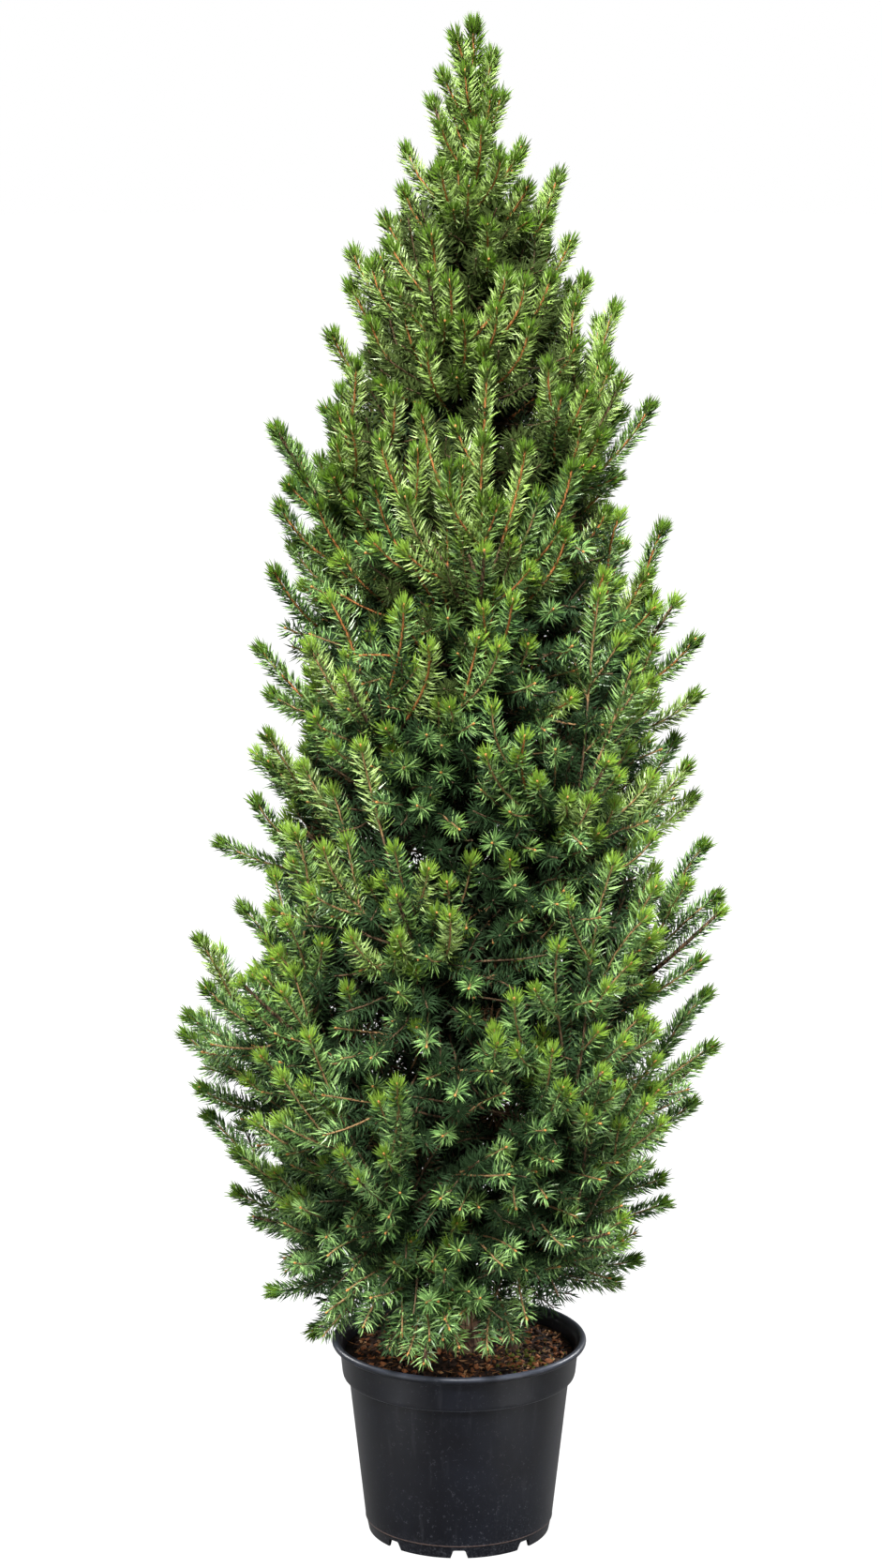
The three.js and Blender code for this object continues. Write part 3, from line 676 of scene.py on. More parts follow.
class Crown:
    """All that grows on the trunk: twigs by age, needles by tone, and buds."""

    def __init__(self, sizes):
        self.sizes = sizes
        self.chance = np.random.default_rng(GROWTH_SEED)
        self.needles = {}
        self.twigs = {"upper": [], "young": [], "old": []}
        self.buds = []
        self.limbs = [make_limb(i) for i in range(LIMBS)]
        self.find_feet()
        self.grow_leader()
        self.grow_limb_tips()
        self.grow_tips()
        self.grow_inside()

    def find_feet(self):
        """Places on the limbs and the upper trunk that a branchlet can grow from."""
        spots, ways = [], []
        for limb in self.limbs:
            length = path_run(limb["path"])[-1]
            spot, way = on_path(limb["path"], LIMB_FEET * length)
            spots.append(spot)
            ways.append(way)
        spots.append(np.array([trunk_point(z) for z in TRUNK_FEET]))
        ways.append(np.tile([0.0, 0.0, 1.0], (len(TRUNK_FEET), 1)))
        self.feet = np.concatenate(spots)
        self.feet_ways = np.concatenate(ways)
        self.feet_depth = depth_in_crown(self.feet)
        self.feet_used = np.zeros(len(self.feet))

    def heading_at(self, tip, rise_add, turn_add):
        """The way a shoot points at its tip: outwards from the trunk and up by the rise at its height."""
        middle = trunk_point(min(tip[2], TRUNK_TIP))
        turn = math.atan2(tip[1] - middle[1], tip[0] - middle[0]) + turn_add
        rise = math.radians(float(at_height(SHOOT_RISE, tip[2])) + rise_add)
        flat = math.cos(rise)
        return np.array([math.cos(turn) * flat, math.sin(turn) * flat, math.sin(rise)])

    def tones(self, z, rosette):
        """The tone of a shoot's needles by its height, and by whether it opens into a rosette."""
        pick = self.chance.random()
        high = z + self.chance.normal(0, TONE_BLUR)
        if high > FRESH_ABOVE:
            odds = FRESH_TONES
        elif rosette:
            odds = ROSETTE_TONES
        else:
            odds = MIDDLE_TONES if high > BLUE_BELOW else LOW_TONES
        return next(tone for tone, limit in odds if pick < limit)

    def clothe(self, path, near, far, density, tone, tip=14, body=70, length=1.0, width=1.0):
        """Needles in a spiral along a path, between two distances behind its tip.

        They open from one angle off the path at its tip to another along its body.
        """
        count = int(max(far - near, 0) * density)
        if count < 2:
            return
        behind = np.linspace(near, far, count) + self.chance.uniform(-PLACE_BLUR, PLACE_BLUR, count)
        behind = np.clip(behind, 0.2, path_run(path)[-1] - 0.5)
        spread = tip + (body - tip) * (1 - np.exp(-behind / OPENING_RUN))
        spread = spread + self.chance.normal(0, ANGLE_BLUR, count)
        size = length * (TIP_NEEDLE + (1 - TIP_NEEDLE) * np.minimum(behind / GROWING_RUN, 1))
        size = size * self.chance.uniform(*NEEDLE_SIZES, count)
        self.spray(path, behind, spread, size, width, tone)

    def tuft(self, path, count, tone):
        """The dense brush of new needles that closes round a shoot's tip."""
        behind = self.chance.uniform(*TUFT_DEPTH, count)
        spread = self.chance.uniform(*TUFT_ANGLES, count) + behind * TUFT_OPENING
        self.spray(path, behind, spread, self.chance.uniform(*TUFT_SIZES, count), 1.0, tone)

    def spray(self, path, behind, spread, size, width, tone):
        """Needles on a path at distances behind its tip, each with its angle off the path and its size."""
        chance = self.chance
        count = len(behind)
        spot, way = on_path(path, path_run(path)[-1] - behind)
        across, over = across_and_over(way, np.abs(way[:, 2:3]) > STEEP)
        turn = np.arange(count) * GOLDEN_TURN + chance.uniform(-TURN_BLUR, TURN_BLUR, count)
        turn = turn + chance.random() * ANY_TURN
        out = across * np.cos(turn)[:, None] + over * np.sin(turn)[:, None]
        off = np.radians(spread)[:, None]
        aim = unit(way * np.cos(off) + out * np.sin(off) + NEEDLE_LIFT)
        long = size * self.sizes.needle_length / MM
        full = self.sizes.needle_width / MM
        wide = np.full(count, full * width)
        foot = spot + out * NEEDLE_FOOT
        end = foot + aim * long[:, None]
        near_pot = (end[:, 2] < LIP_CLEAR_HEIGHT) & (np.hypot(end[:, 0], end[:, 1]) < LIP_CLEAR_RADIUS)
        clear = ~near_pot & (end[:, 2] > LOWEST_NEEDLE)
        # Needles buried deeper than the shade depth take the darkened shade tone, which is painted shade; a
        # few sprays of them turn brown.
        buried = (1 - depth_in_crown(spot)) * crown_reach(spot[:, 2]) + chance.normal(0, DEEP_BLUR, count)
        deep = buried > self.sizes.shade_depth / MM
        wide = np.where(deep, np.maximum(wide, full * DEEP_WIDTH), wide)
        hidden = deep & (chance.random(count) < DEEP_SHARE)
        pick = chance.random(count)
        # Paler needles: partly the pale bands of real needles, partly painted highlight.
        pale = pick < PALE_AND_HIGHLIGHT_SHARE
        # Darker needles: painted shade.
        dark = pick > 1 - PAINTED_SHADE_SHARE
        old = "old" if chance.random() < BROWN_SHARE else "shade"
        lots = (
            (tone, ~deep & ~pale & ~dark),
            (PALE_AND_HIGHLIGHT_TONES.get(tone, tone), ~deep & pale),
            (PAINTED_SHADE_TONES.get(tone, tone), ~deep & dark),
            (old, hidden),
        )
        for lot, mask in lots:
            mask = mask & clear
            if mask.any():
                kept = (foot[mask], aim[mask], way[mask], np.stack([wide, wide, long], axis=1)[mask])
                self.needles.setdefault(lot, []).append(kept)

    def twig(self, age, path, foot_radius, tip_radius):
        self.twigs[age].append((path, foot_radius, tip_radius))

    def end_bud(self, path):
        spot, way = on_path(path, path_run(path)[-1:])
        self.buds.append((spot[0], way[0]))

    def path_to(self, tip, heading, reach):
        """A twig's path to its tip from the foot that costs least.

        A foot costs more if it is too near or far, lies off the twig's heading, would make the twig turn
        back on its limb, lies too near the surface, or carries other twigs.
        """
        away = tip - self.feet
        span = np.linalg.norm(away, axis=1)
        straight = away / np.maximum(span, 1)[:, None]
        faces = straight @ heading
        follows = np.sum(straight * self.feet_ways, axis=1)
        cost = np.abs(span - reach) / SPAN_SCALE + OFF_HEADING * (1 - faces)
        cost = cost + TURNING_BACK * np.maximum(LEAST_FOLLOWING - follows, 0)
        cost += np.where(span < SHORTEST_SPAN, TOO_SHORT, 0)
        cost += NEAR_SURFACE * np.maximum(self.feet_depth - FOOT_DEPTH * float(depth_in_crown(tip)), 0)
        best = int(np.argmin(cost + self.feet_used))
        self.feet_used[best] += CROWDING
        foot, run = self.feet[best], span[best]
        start = unit(self.feet_ways[best] * 0.7 + straight[best])
        corners = [foot, foot + start * run * 0.32, tip - heading * run * 0.42, tip]
        return bent_path(corners, 15)

    def dress(self, path, heading, shoot, laterals=True, lateral_reach=0.985, wood=True, fine=False):
        """The end shoot's needles and bud, the older needles behind it, and the side shoots."""
        total = path_run(path)[-1]
        shoot = min(shoot, total * 0.85)
        z = path[-1, 2]
        self.shoot_needles(path, shoot, heading, OUTLINE_BRUSH if fine else upper_brush(z))
        # The older needles behind the shoot take the darkened dusk or dim tone: partly their duller colour,
        # partly painted shade.
        older = "dusk" if z > DUSK_ABOVE else "dim"
        second = min(shoot + SECOND_YEAR_REACH, total - BARE_FOOT)
        third = min(shoot + THIRD_YEAR_REACH, total - BARE_FOOT)
        self.clothe(path, shoot, second, SECOND_YEAR, older, body=66, length=0.94)
        old_start = shoot + SECOND_YEAR_REACH
        self.clothe(path, old_start, third, THIRD_YEAR, older, body=74, length=0.9, width=1.5)
        self.end_bud(path)
        if wood:
            self.split_twig(path, shoot * 1.05, *TWIG_RADII)
        if laterals:
            self.side_shoots(path, heading, shoot, lateral_reach)

    def shoot_needles(self, path, shoot, heading, brush):
        """This year's needles: a rosette where the shoot faces out, else a brush that ends in a tuft."""
        z = path[-1, 2]
        rosette = heading[2] < ROSETTE_RISE and not brush
        tone = self.tones(z, rosette)
        if rosette:
            self.clothe(path, 0.6, ROSETTE_DEPTH, ROSETTE, tone, tip=24, body=80)
            if z < RIM_TONES_BELOW:
                self.clothe(path, ROSETTE_DEPTH, shoot, RIM_SHOOT, tone, body=62)
            else:
                self.clothe(path, ROSETTE_DEPTH, shoot, BEHIND_ROSETTE, "dim", body=62)
        elif brush:
            self.clothe(path, TUFT_ROOM, shoot, brush, tone, tip=28, body=52, length=0.93)
            # Brush tips take the darkened crest tone, partly painted shade.
            self.tuft(path, BRUSH_TUFT, "crest")
        else:
            self.clothe(path, TUFT_ROOM, shoot, PLAIN_SHOOT, tone, tip=34, body=60)
            self.tuft(path, SHOOT_TUFT, "light")

    def split_twig(self, path, young, foot_radius, tip_radius):
        """The newest part of a twig is tan, the part behind it grey."""
        total = path_run(path)[-1]
        age = "upper" if path[-1, 2] > UPPER_TWIGS_ABOVE + self.chance.normal(0, 80) else "young"
        if total <= young + 12:
            self.twig(age, path, foot_radius * 0.8, tip_radius)
            return
        stouter = UPPER_STOUTER if age == "upper" else 1
        foot_radius, tip_radius = foot_radius * stouter, tip_radius * stouter
        joint = total - young
        middle = foot_radius + (tip_radius - foot_radius) * (joint / total)
        old, _ = on_path(path, np.linspace(0, joint + 2, 6))
        new, _ = on_path(path, np.linspace(joint, total, 7))
        self.twig("old", old, foot_radius, middle)
        self.twig(age, new, middle * 0.97, tip_radius)

    def side_shoots(self, path, heading, shoot, lateral_reach):
        """Shoots from a twig's sides, on the left and right of the way it faces by turns."""
        chance = self.chance
        total = path_run(path)[-1]
        first_hand = 1 if chance.uniform(0, ANY_TURN) < ANY_TURN / 2 else -1
        for order, (place, length, odds) in enumerate(SIDE_PLAN):
            behind = shoot * place * chance.uniform(*SIDE_PLACES)
            if behind > total - SIDE_ROOM or chance.random() > odds:
                continue
            spot, way = (part[0] for part in on_path(path, np.array([total - behind])))
            outward = unit(heading * [1, 1, 0.3] + [0, 0, 0.15])
            side = unit(np.cross(way, outward))
            face = np.cross(side, way)
            if face @ outward < 0:
                face = -face
            hand = first_hand if order % 2 else -first_hand
            turn = hand * math.radians(chance.uniform(*SIDE_TURNS))
            out = face * math.cos(turn) + side * math.sin(turn)
            lean = math.radians(chance.uniform(*SIDE_LEANS))
            begin = way * math.cos(lean) + out * math.sin(lean)
            length = length * chance.uniform(*SIDE_LENGTHS)
            self.side_shoot(spot, begin, heading, length, lateral_reach)

    def side_shoot(self, spot, begin, heading, length, lateral_reach):
        """A shoot from the side of another, shortened until it stays inside the crown, or left out."""
        end = unit(begin + heading * 0.8 + [0, 0, 0.12])
        for _ in range(3):
            tip = spot + (begin + end) * 0.5 * length
            if depth_in_crown(tip) <= lateral_reach and tip[2] > LOWEST_TIP:
                break
            length *= SIDE_SHORTER
        else:
            return
        path = bent_path([spot, spot + begin * length * 0.5, tip], 7)
        heading = unit(path[-1] - path[-3])
        self.shoot_needles(path, path_run(path)[-1] - 3, heading, upper_brush(tip[2]))
        age = "upper" if tip[2] > UPPER_TWIGS_ABOVE else "young"
        self.twig(age, even_path(path, 5), *SIDE_TWIG_RADII)
        self.end_bud(path)

    def grow_leader(self):
        """The top shoot and the short shoots that hug it."""
        path = np.array([trunk_point(z) for z in np.linspace(LEADER_FOOT, CROWN_TOP - 14, 30)])
        # The leader takes the darkened crest tone, partly painted shade.
        self.clothe(path, TUFT_ROOM, LEADER_NEW, LEADER_BRUSH, "crest", tip=22, body=52, length=1.05)
        self.tuft(path, LEADER_TUFT, "crest")
        self.clothe(path, LEADER_NEW, LEADER_OLD, 2.0, "dusk", body=60)
        self.twig("upper", path[20:], *LEADER_RADII)
        self.end_bud(path)
        for k in range(LEADER_SHOOTS):
            share = k / (LEADER_SHOOTS - 1)
            foot = trunk_point(LEADER_SHOOTS_FROM + LEADER_SHOOTS_RUN * share)
            turn = k * GOLDEN_TURN + 0.6
            out = np.array([math.cos(turn), math.sin(turn), 0])
            length = LEADER_SHOOT_LENGTH - LEADER_SHOOT_SHORTER * share + 10 * (seeded(k, 9) - 0.5)
            tip = foot + out * length * 0.36 + [0, 0, length * 0.9]
            side = bent_path([foot, foot + out * length * 0.3 + [0, 0, length * 0.25], tip], 12)
            self.dress(side, unit(side[-1] - side[-3]), length * 0.9, laterals=False)

    def grow_limb_tips(self):
        for limb in self.limbs:
            path = limb["path"]
            heading = unit(path[-1] - path[-6])
            self.dress(path, heading, self.shoot_length(path[-1, 2]), wood=False)

    def stance(self, tip, upright=0.46):
        """What a shoot adds to the rise at its height.

        Low shoots droop, upper ones and those at the sides sweep up, and the rest stand up or face out.
        """
        z = tip[2]
        if z < DROOP_BELOW:
            return self.chance.normal(*DROOPING)
        if z > UPRIGHT_ABOVE:
            return self.chance.normal(*(AT_SPIRE if z > SPIRE_ABOVE else SWEPT_UP))
        if z < LOW_BELOW:
            return self.chance.normal(*AS_RULED)
        if at_side(tip):
            return self.chance.normal(*AT_SIDE)
        stands = self.chance.random() < upright
        return self.chance.normal(*(STANDING if stands else FACING_OUT))

    def shoot_length(self, z):
        return float(at_height(SHOOT_LENGTHS, z) * self.chance.uniform(0.84, 1.14))

    def outline_tips(self):
        """Tips of the outline, each with its added rise and turn, its side shoots' reach and its kind."""
        chance = self.chance
        for side, rows in ((-1, LEFT_SHOOTS), (1, RIGHT_SHOOTS)):
            for away, z in rows:
                depth = chance.uniform(-OUTLINE_DEPTH, OUTLINE_DEPTH) * crown_reach(z)
                high = min(z - VIEW_SLOPE * depth, CROWN_TOP - 12)
                tip = np.array([side * (away - TUFT_REACH), depth, high])
                rise_add = chance.normal(-8 if z > SPIRE_ABOVE else 0, 5)
                yield tip, rise_add, chance.normal(0, 0.14), 0.95, True

    def front_tips(self):
        """Tips on the crown's front, of which the second list's stand up."""
        for rows, upright, share in ((FRONT_SHOOTS, 0.06, 0.95), (FRONT_UPRIGHT, 1, 0.97)):
            for x, z in rows:
                reach = crown_reach(z) * share
                depth = math.sqrt(max(reach**2 - (x - crown_shift(z)) ** 2, 0))
                tip = np.array([x, -depth, z], float)
                rise_add = self.stance(tip, upright)
                yield tip, rise_add, self.chance.normal(0, 0.2), 0.99, False

    def foot_tips(self):
        """Drooping tips round the back of the crown's foot."""
        for k in range(FOOT_SHOOTS):
            turn = math.radians(20 + 140 * k / (FOOT_SHOOTS - 1))
            tip = crown_tip(FOOT_HEIGHT + 16 * (seeded(k, 3) - 0.5), turn, 0.92 + 0.06 * seeded(k, 4))
            rise_add = self.stance(tip)
            yield tip, rise_add, self.chance.normal(0, 0.1), 0.985, False

    def fill(self, placed):
        """Adds tips all round the crown between the placed ones, some of them long."""
        known = np.array([row[0] for row in placed])
        for k in range(self.sizes.fill_shoots):
            z = height_at_share((k + 0.5) / self.sizes.fill_shoots) + 20 * (seeded(k, 5) - 0.5)
            turn = k * GOLDEN_TURN + 0.4 * (seeded(k, 6) - 0.5)
            edge = abs(math.cos(turn)) > 0.8
            long = seeded(k, 8) < LONG_SHARE
            least, more = LONG_DEPTHS if long else SHORT_DEPTHS
            depth = least + more * seeded(k, 7)
            tip = crown_tip(z, turn, min(depth, flat_side(z, turn, FILL_FLAT)))
            over_rim = z < OVER_RIM_BELOW and tip[1] < 40
            if over_rim or nearest(known, tip) <= at_height(FILL_SPACING, z):
                continue
            spike = long and not edge and math.sin(turn) > 0.3 and z > LOW_BELOW
            tip = crown_tip(z, turn, SPIKE_DEPTH) if spike else tip
            rise_add = self.chance.normal(*AS_RULED) if spike else self.stance(tip)
            placed.append((tip, rise_add, self.chance.normal(0, 0.25), 0.9 if edge else 0.96, spike))

    def cover(self, placed):
        """Adds rosettes where no tip is near on the crown's face."""
        known = np.array([row[0] for row in placed])
        lowest, highest = COVER_HEIGHTS
        for k in range(COVER_TRIALS):
            z = height_at_share((k + 0.5) / COVER_TRIALS)
            turn = k * GOLDEN_TURN + 1.3
            tip = crown_tip(z, turn, min(COVER_DEPTH, flat_side(z, turn, COVER_FLAT)))
            if lowest < z < highest and nearest(known, tip) > COVER_SPACING:
                rise_add = self.chance.normal(*(COVER_OUT if z < DUSK_ABOVE else COVER_UP))
                placed.append((tip, rise_add, self.chance.normal(0, 0.25), 0, False))
                known = np.append(known, [tip], axis=0)

    def grow_tips(self):
        """Shoots to the tips read from the photograph, and to tips spread between them."""
        placed = [*self.outline_tips(), *self.front_tips(), *self.foot_tips()]
        self.fill(placed)
        self.cover(placed)
        for tip, rise_add, turn_add, lateral_reach, fine in placed:
            heading = self.heading_at(tip, rise_add, turn_add)
            shoot = self.shoot_length(tip[2])
            path = self.path_to(tip, heading, float(at_height(TWIG_REACHES, tip[2])))
            self.dress(path, heading, shoot, lateral_reach=lateral_reach, fine=fine)

    def grow_inside(self):
        """Shoots in even shells under the crown's surface, which close the view into it."""
        lowest, highest = INNER_HEIGHTS
        for shell, members, dense, length, width, rise_add in INNER_SHELLS:
            for k in range(members):
                z = 10 + height_at_share((k + 0.5) / members) * 0.985
                turn = k * GOLDEN_TURN + shell * 9
                tip = crown_tip(z, turn, shell)
                if not lowest < z < highest:
                    continue
                side = at_side(tip)
                if side:
                    tip = crown_tip(z, turn, shell * (0.92 - at_height(SIDE_HOLLOW, z)))
                rise = self.chance.normal(-2 if side else rise_add, 12)
                heading = self.heading_at(tip, rise, self.chance.normal(0, 0.2))
                # Inner shoots take the darkened dusk or dim tone: painted shade under the crown's surface.
                tone = "dusk" if z > DUSK_ABOVE + self.chance.normal(0, 70) else "dim"
                path = self.path_to(tip, heading, INNER_REACH)
                far = min(path_run(path)[-1] - 4, OUTER_SHELL_RUN if shell > 0.6 else INNER_SHELL_RUN)
                self.clothe(path, 0.6, far, dense, tone, tip=24, body=76, length=length, width=width)
                self.twig("old", even_path(path, 5), *INNER_TWIG_RADII)


CROWNS = {}


def grown_crown(context):
    if "spruce" not in CROWNS:
        CROWNS["spruce"] = Crown(context.scene.spruce_crown)
    return CROWNS["spruce"]


def new_object(name, mesh):
    piece = bpy.data.objects.new(name, mesh)
    bpy.context.scene.collection.objects.link(piece)
    return piece


def mesh_from(name, points, faces):
    mesh = bpy.data.meshes.new(name)
    mesh.from_pydata(np.asarray(points).tolist(), [], [list(map(int, f)) for f in faces])
    mesh.validate()
    mesh.update()
    return mesh


def plain_mesh(piece):
    """Turns a piece with modifiers into a plain mesh."""
    graph = bpy.context.evaluated_depsgraph_get()
    mesh = bpy.data.meshes.new_from_object(piece.evaluated_get(graph))
    piece.modifiers.clear()
    old = piece.data
    piece.data = mesh
    mesh.name = piece.name
    bpy.data.meshes.remove(old)
    return piece


def seat(piece, slot, *nodes):
    """The piece rides with the plant and stands for its solids, which it hides. The slot is not used."""
    if not piece.data.polygons:
        raise RuntimeError(piece.name + " came out empty")
    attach(piece, "root")
    if nodes:
        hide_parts(*nodes)


def new_tree(name, inputs):
    """An empty geometry tree with named inputs; returns its board, the inputs' wires and identifiers."""
    tree = bpy.data.node_groups.new(name, "GeometryNodeTree")
    tree.interface.new_socket(name="Geometry", in_out="INPUT", socket_type="NodeSocketGeometry")
    tree.interface.new_socket(name="Geometry", in_out="OUTPUT", socket_type="NodeSocketGeometry")
    keys = {}
    for label, kind in inputs:
        keys[label] = tree.interface.new_socket(name=label, in_out="INPUT", socket_type=kind).identifier
    board = Board(tree)
    entry = tree.nodes.new("NodeGroupInput")
    wires = {socket.name: Wire(board, socket) for socket in entry.outputs if socket.name}
    return board, wires, keys


def close_tree(board, geometry, finish):
    painted = board.node("GeometryNodeSetMaterial", {}, {"Geometry": geometry, "Material": finish})
    end = board.tree.nodes.new("NodeGroupOutput")
    board.tree.links.new(painted.socket, end.inputs[0])


def scatter(board, wires, shape, rough=None):
    """Copies of a shape on points that carry their own aim, side and size, made one mesh."""
    def carried(name):
        return board.node("GeometryNodeInputNamedAttribute", {"data_type": "FLOAT_VECTOR"}, {"Name": name})

    aimed = board.node(
        "FunctionNodeAlignRotationToVector", {"axis": "Z"}, {"Vector": carried("spray_aim")}
    )
    rolled = board.node(
        "FunctionNodeAlignRotationToVector",
        {"axis": "X", "pivot_axis": "Z"},
        {"Rotation": aimed, "Vector": carried("spray_side")},
    )
    size = carried("spray_size")
    sockets = {"Points": wires["Geometry"], "Instance": shape, "Rotation": rolled, "Scale": size}
    copies = board.node("GeometryNodeInstanceOnPoints", {}, sockets)
    bare = board.node(
        "GeometryNodeRemoveAttribute", {"pattern_mode": "WILDCARD"}, {"Geometry": copies, "Name": "spray_*"}
    )
    joined = board.node("GeometryNodeRealizeInstances", {}, {"Geometry": bare})
    if rough:
        joined = roughen(board, joined, rough)
    close_tree(board, joined, wires["Finish"])


def roughen(board, geometry, amount):
    """Moves the corners of small lumps about, so that no two are alike."""
    place = board.node("GeometryNodeInputPosition")
    wild = board.node("ShaderNodeTexNoise", {}, {"Vector": place, "Scale": 190.0, "Detail": 2.0}, out=1)
    middle = board.node("ShaderNodeVectorMath", {"operation": "SUBTRACT"}, {0: wild, 1: (0.5, 0.5, 0.5)})
    move = board.node("ShaderNodeVectorMath", {"operation": "SCALE"}, {0: middle, "Scale": amount})
    return board.node("GeometryNodeSetPosition", {}, {"Geometry": geometry, "Offset": move})


def needle_tree():
    """A slim needle of four faces on every point, pointed at both ends and bowed towards its twig's tip."""
    board, wires, keys = new_tree("needles", [("Bow", "NodeSocketFloat"), ("Finish", "NodeSocketMaterial")])
    cone = board.node(
        "GeometryNodeMeshCone", {}, {"Vertices": 3, "Radius Top": 0.0, "Radius Bottom": 0.5, "Depth": 1.0}
    )
    place = board.node("GeometryNodeInputPosition")
    x, y, z = (board.node("ShaderNodeSeparateXYZ", {}, {0: place}, out=k) for k in range(3))
    middle = (0.5 - x) * (1 - z) * (4 / 3)
    spot = {0: middle * wires["Bow"] * -1, 1: y * (2 / math.sqrt(3)), 2: z + middle * WIDEST_AT}
    move = board.node("ShaderNodeCombineXYZ", {}, spot)
    scatter(board, wires, board.node("GeometryNodeSetPosition", {}, {"Geometry": cone, "Position": move}))
    return board.tree, keys


def lump_tree(name, rough):
    """A small many-sided lump on every point, for buds, chips and moss."""
    board, wires, keys = new_tree(name, [("Sides", "NodeSocketInt"), ("Finish", "NodeSocketMaterial")])
    sockets = {"Radius": 0.5, "Segments": wires["Sides"], "Rings": 4}
    ball = board.node("GeometryNodeMeshUVSphere", {}, sockets)
    smooth = board.node("GeometryNodeSetShadeSmooth", {}, {"Geometry": ball, "Shade Smooth": rough is None})
    scatter(board, wires, smooth, rough)
    return board.tree, keys


def twig_tree():
    """A round tapering twig along every path."""
    board, wires, keys = new_tree("twigs", [("Sides", "NodeSocketInt"), ("Finish", "NodeSocketMaterial")])
    lines = board.node("GeometryNodeMeshToCurve", {}, {"Mesh": wires["Geometry"]})
    radius = board.node("GeometryNodeInputNamedAttribute", {"data_type": "FLOAT"}, {"Name": "spray_radius"})
    ring = board.node("GeometryNodeCurvePrimitiveCircle", {}, {"Resolution": wires["Sides"], "Radius": 1.0})
    tubes = board.node(
        "GeometryNodeCurveToMesh",
        {},
        {"Curve": lines, "Profile Curve": ring, "Scale": radius, "Fill Caps": True},
    )
    bare = board.node("GeometryNodeRemoveAttribute", {}, {"Geometry": tubes, "Name": "spray_radius"})
    smooth = board.node("GeometryNodeSetShadeSmooth", {}, {"Geometry": bare})
    close_tree(board, smooth, wires["Finish"])
    return board.tree, keys


def run_tree(piece, tree, keys, values):
    """Gives a tree its inputs on a piece and keeps the result as a plain mesh."""
    modifier = piece.modifiers.new("grow", "NODES")
    modifier.node_group = tree
    for label, value in values.items():
        modifier[keys[label]] = value
    return plain_mesh(piece)


def scattered(name, tree, keys, spots, aims, sides, sizes, values):
    """A piece made of copies at spots in millimetres."""
    mesh = bpy.data.meshes.new(name)
    mesh.vertices.add(len(spots))
    mesh.vertices.foreach_set("co", (np.asarray(spots) * MM).astype(np.float32).ravel())
    for label, rows in (("spray_aim", aims), ("spray_side", sides), ("spray_size", np.asarray(sizes) * MM)):
        carried = mesh.attributes.new(label, "FLOAT_VECTOR", "POINT")
        carried.data.foreach_set("vector", np.asarray(rows, np.float32).ravel())
    return run_tree(new_object(name, mesh), tree, keys, values)


def turned_mesh(name, profile, sides):
    """A body turned about Z from a profile of radii and heights that starts and ends on the axis."""
    turns = np.linspace(0, 2 * math.pi, sides, endpoint=False)
    points = [(0, 0, profile[0][1])]
    for radius, z in profile[1:-1]:
        points.extend((radius * math.cos(t), radius * math.sin(t), z) for t in turns)
    points.append((0, 0, profile[-1][1]))
    rows = len(profile) - 2
    faces = []
    for k in range(sides):
        after = (k + 1) % sides
        faces.append((0, 1 + after, 1 + k))
        for j in range(rows - 1):
            low, high = 1 + j * sides, 1 + (j + 1) * sides
            faces.append((low + k, low + after, high + after, high + k))
        last = 1 + (rows - 1) * sides
        faces.append((len(points) - 1, last + k, last + after))
    return mesh_from(name, points, faces)


def rounded(profile, steps=4):
    """A profile with each corner rounded by the radius that its row gives."""
    made = [profile[0][:2]]
    for before, (r, z, radius), after in zip(profile, profile[1:], profile[2:]):
        here = np.array([r, z])
        back = np.array(before[:2]) - here
        ahead = np.array(after[:2]) - here
        if radius <= 0:
            made.append((r, z))
            continue
        size = min(radius, 0.45 * np.linalg.norm(back), 0.45 * np.linalg.norm(ahead))
        start = here + unit(back) * size
        end = here + unit(ahead) * size
        for share in np.linspace(0, 1, steps + 1):
            bend = (1 - share) ** 2 * start + 2 * share * (1 - share) * here + share**2 * end
            made.append(tuple(bend))
    made.append(profile[-1][:2])
    return made


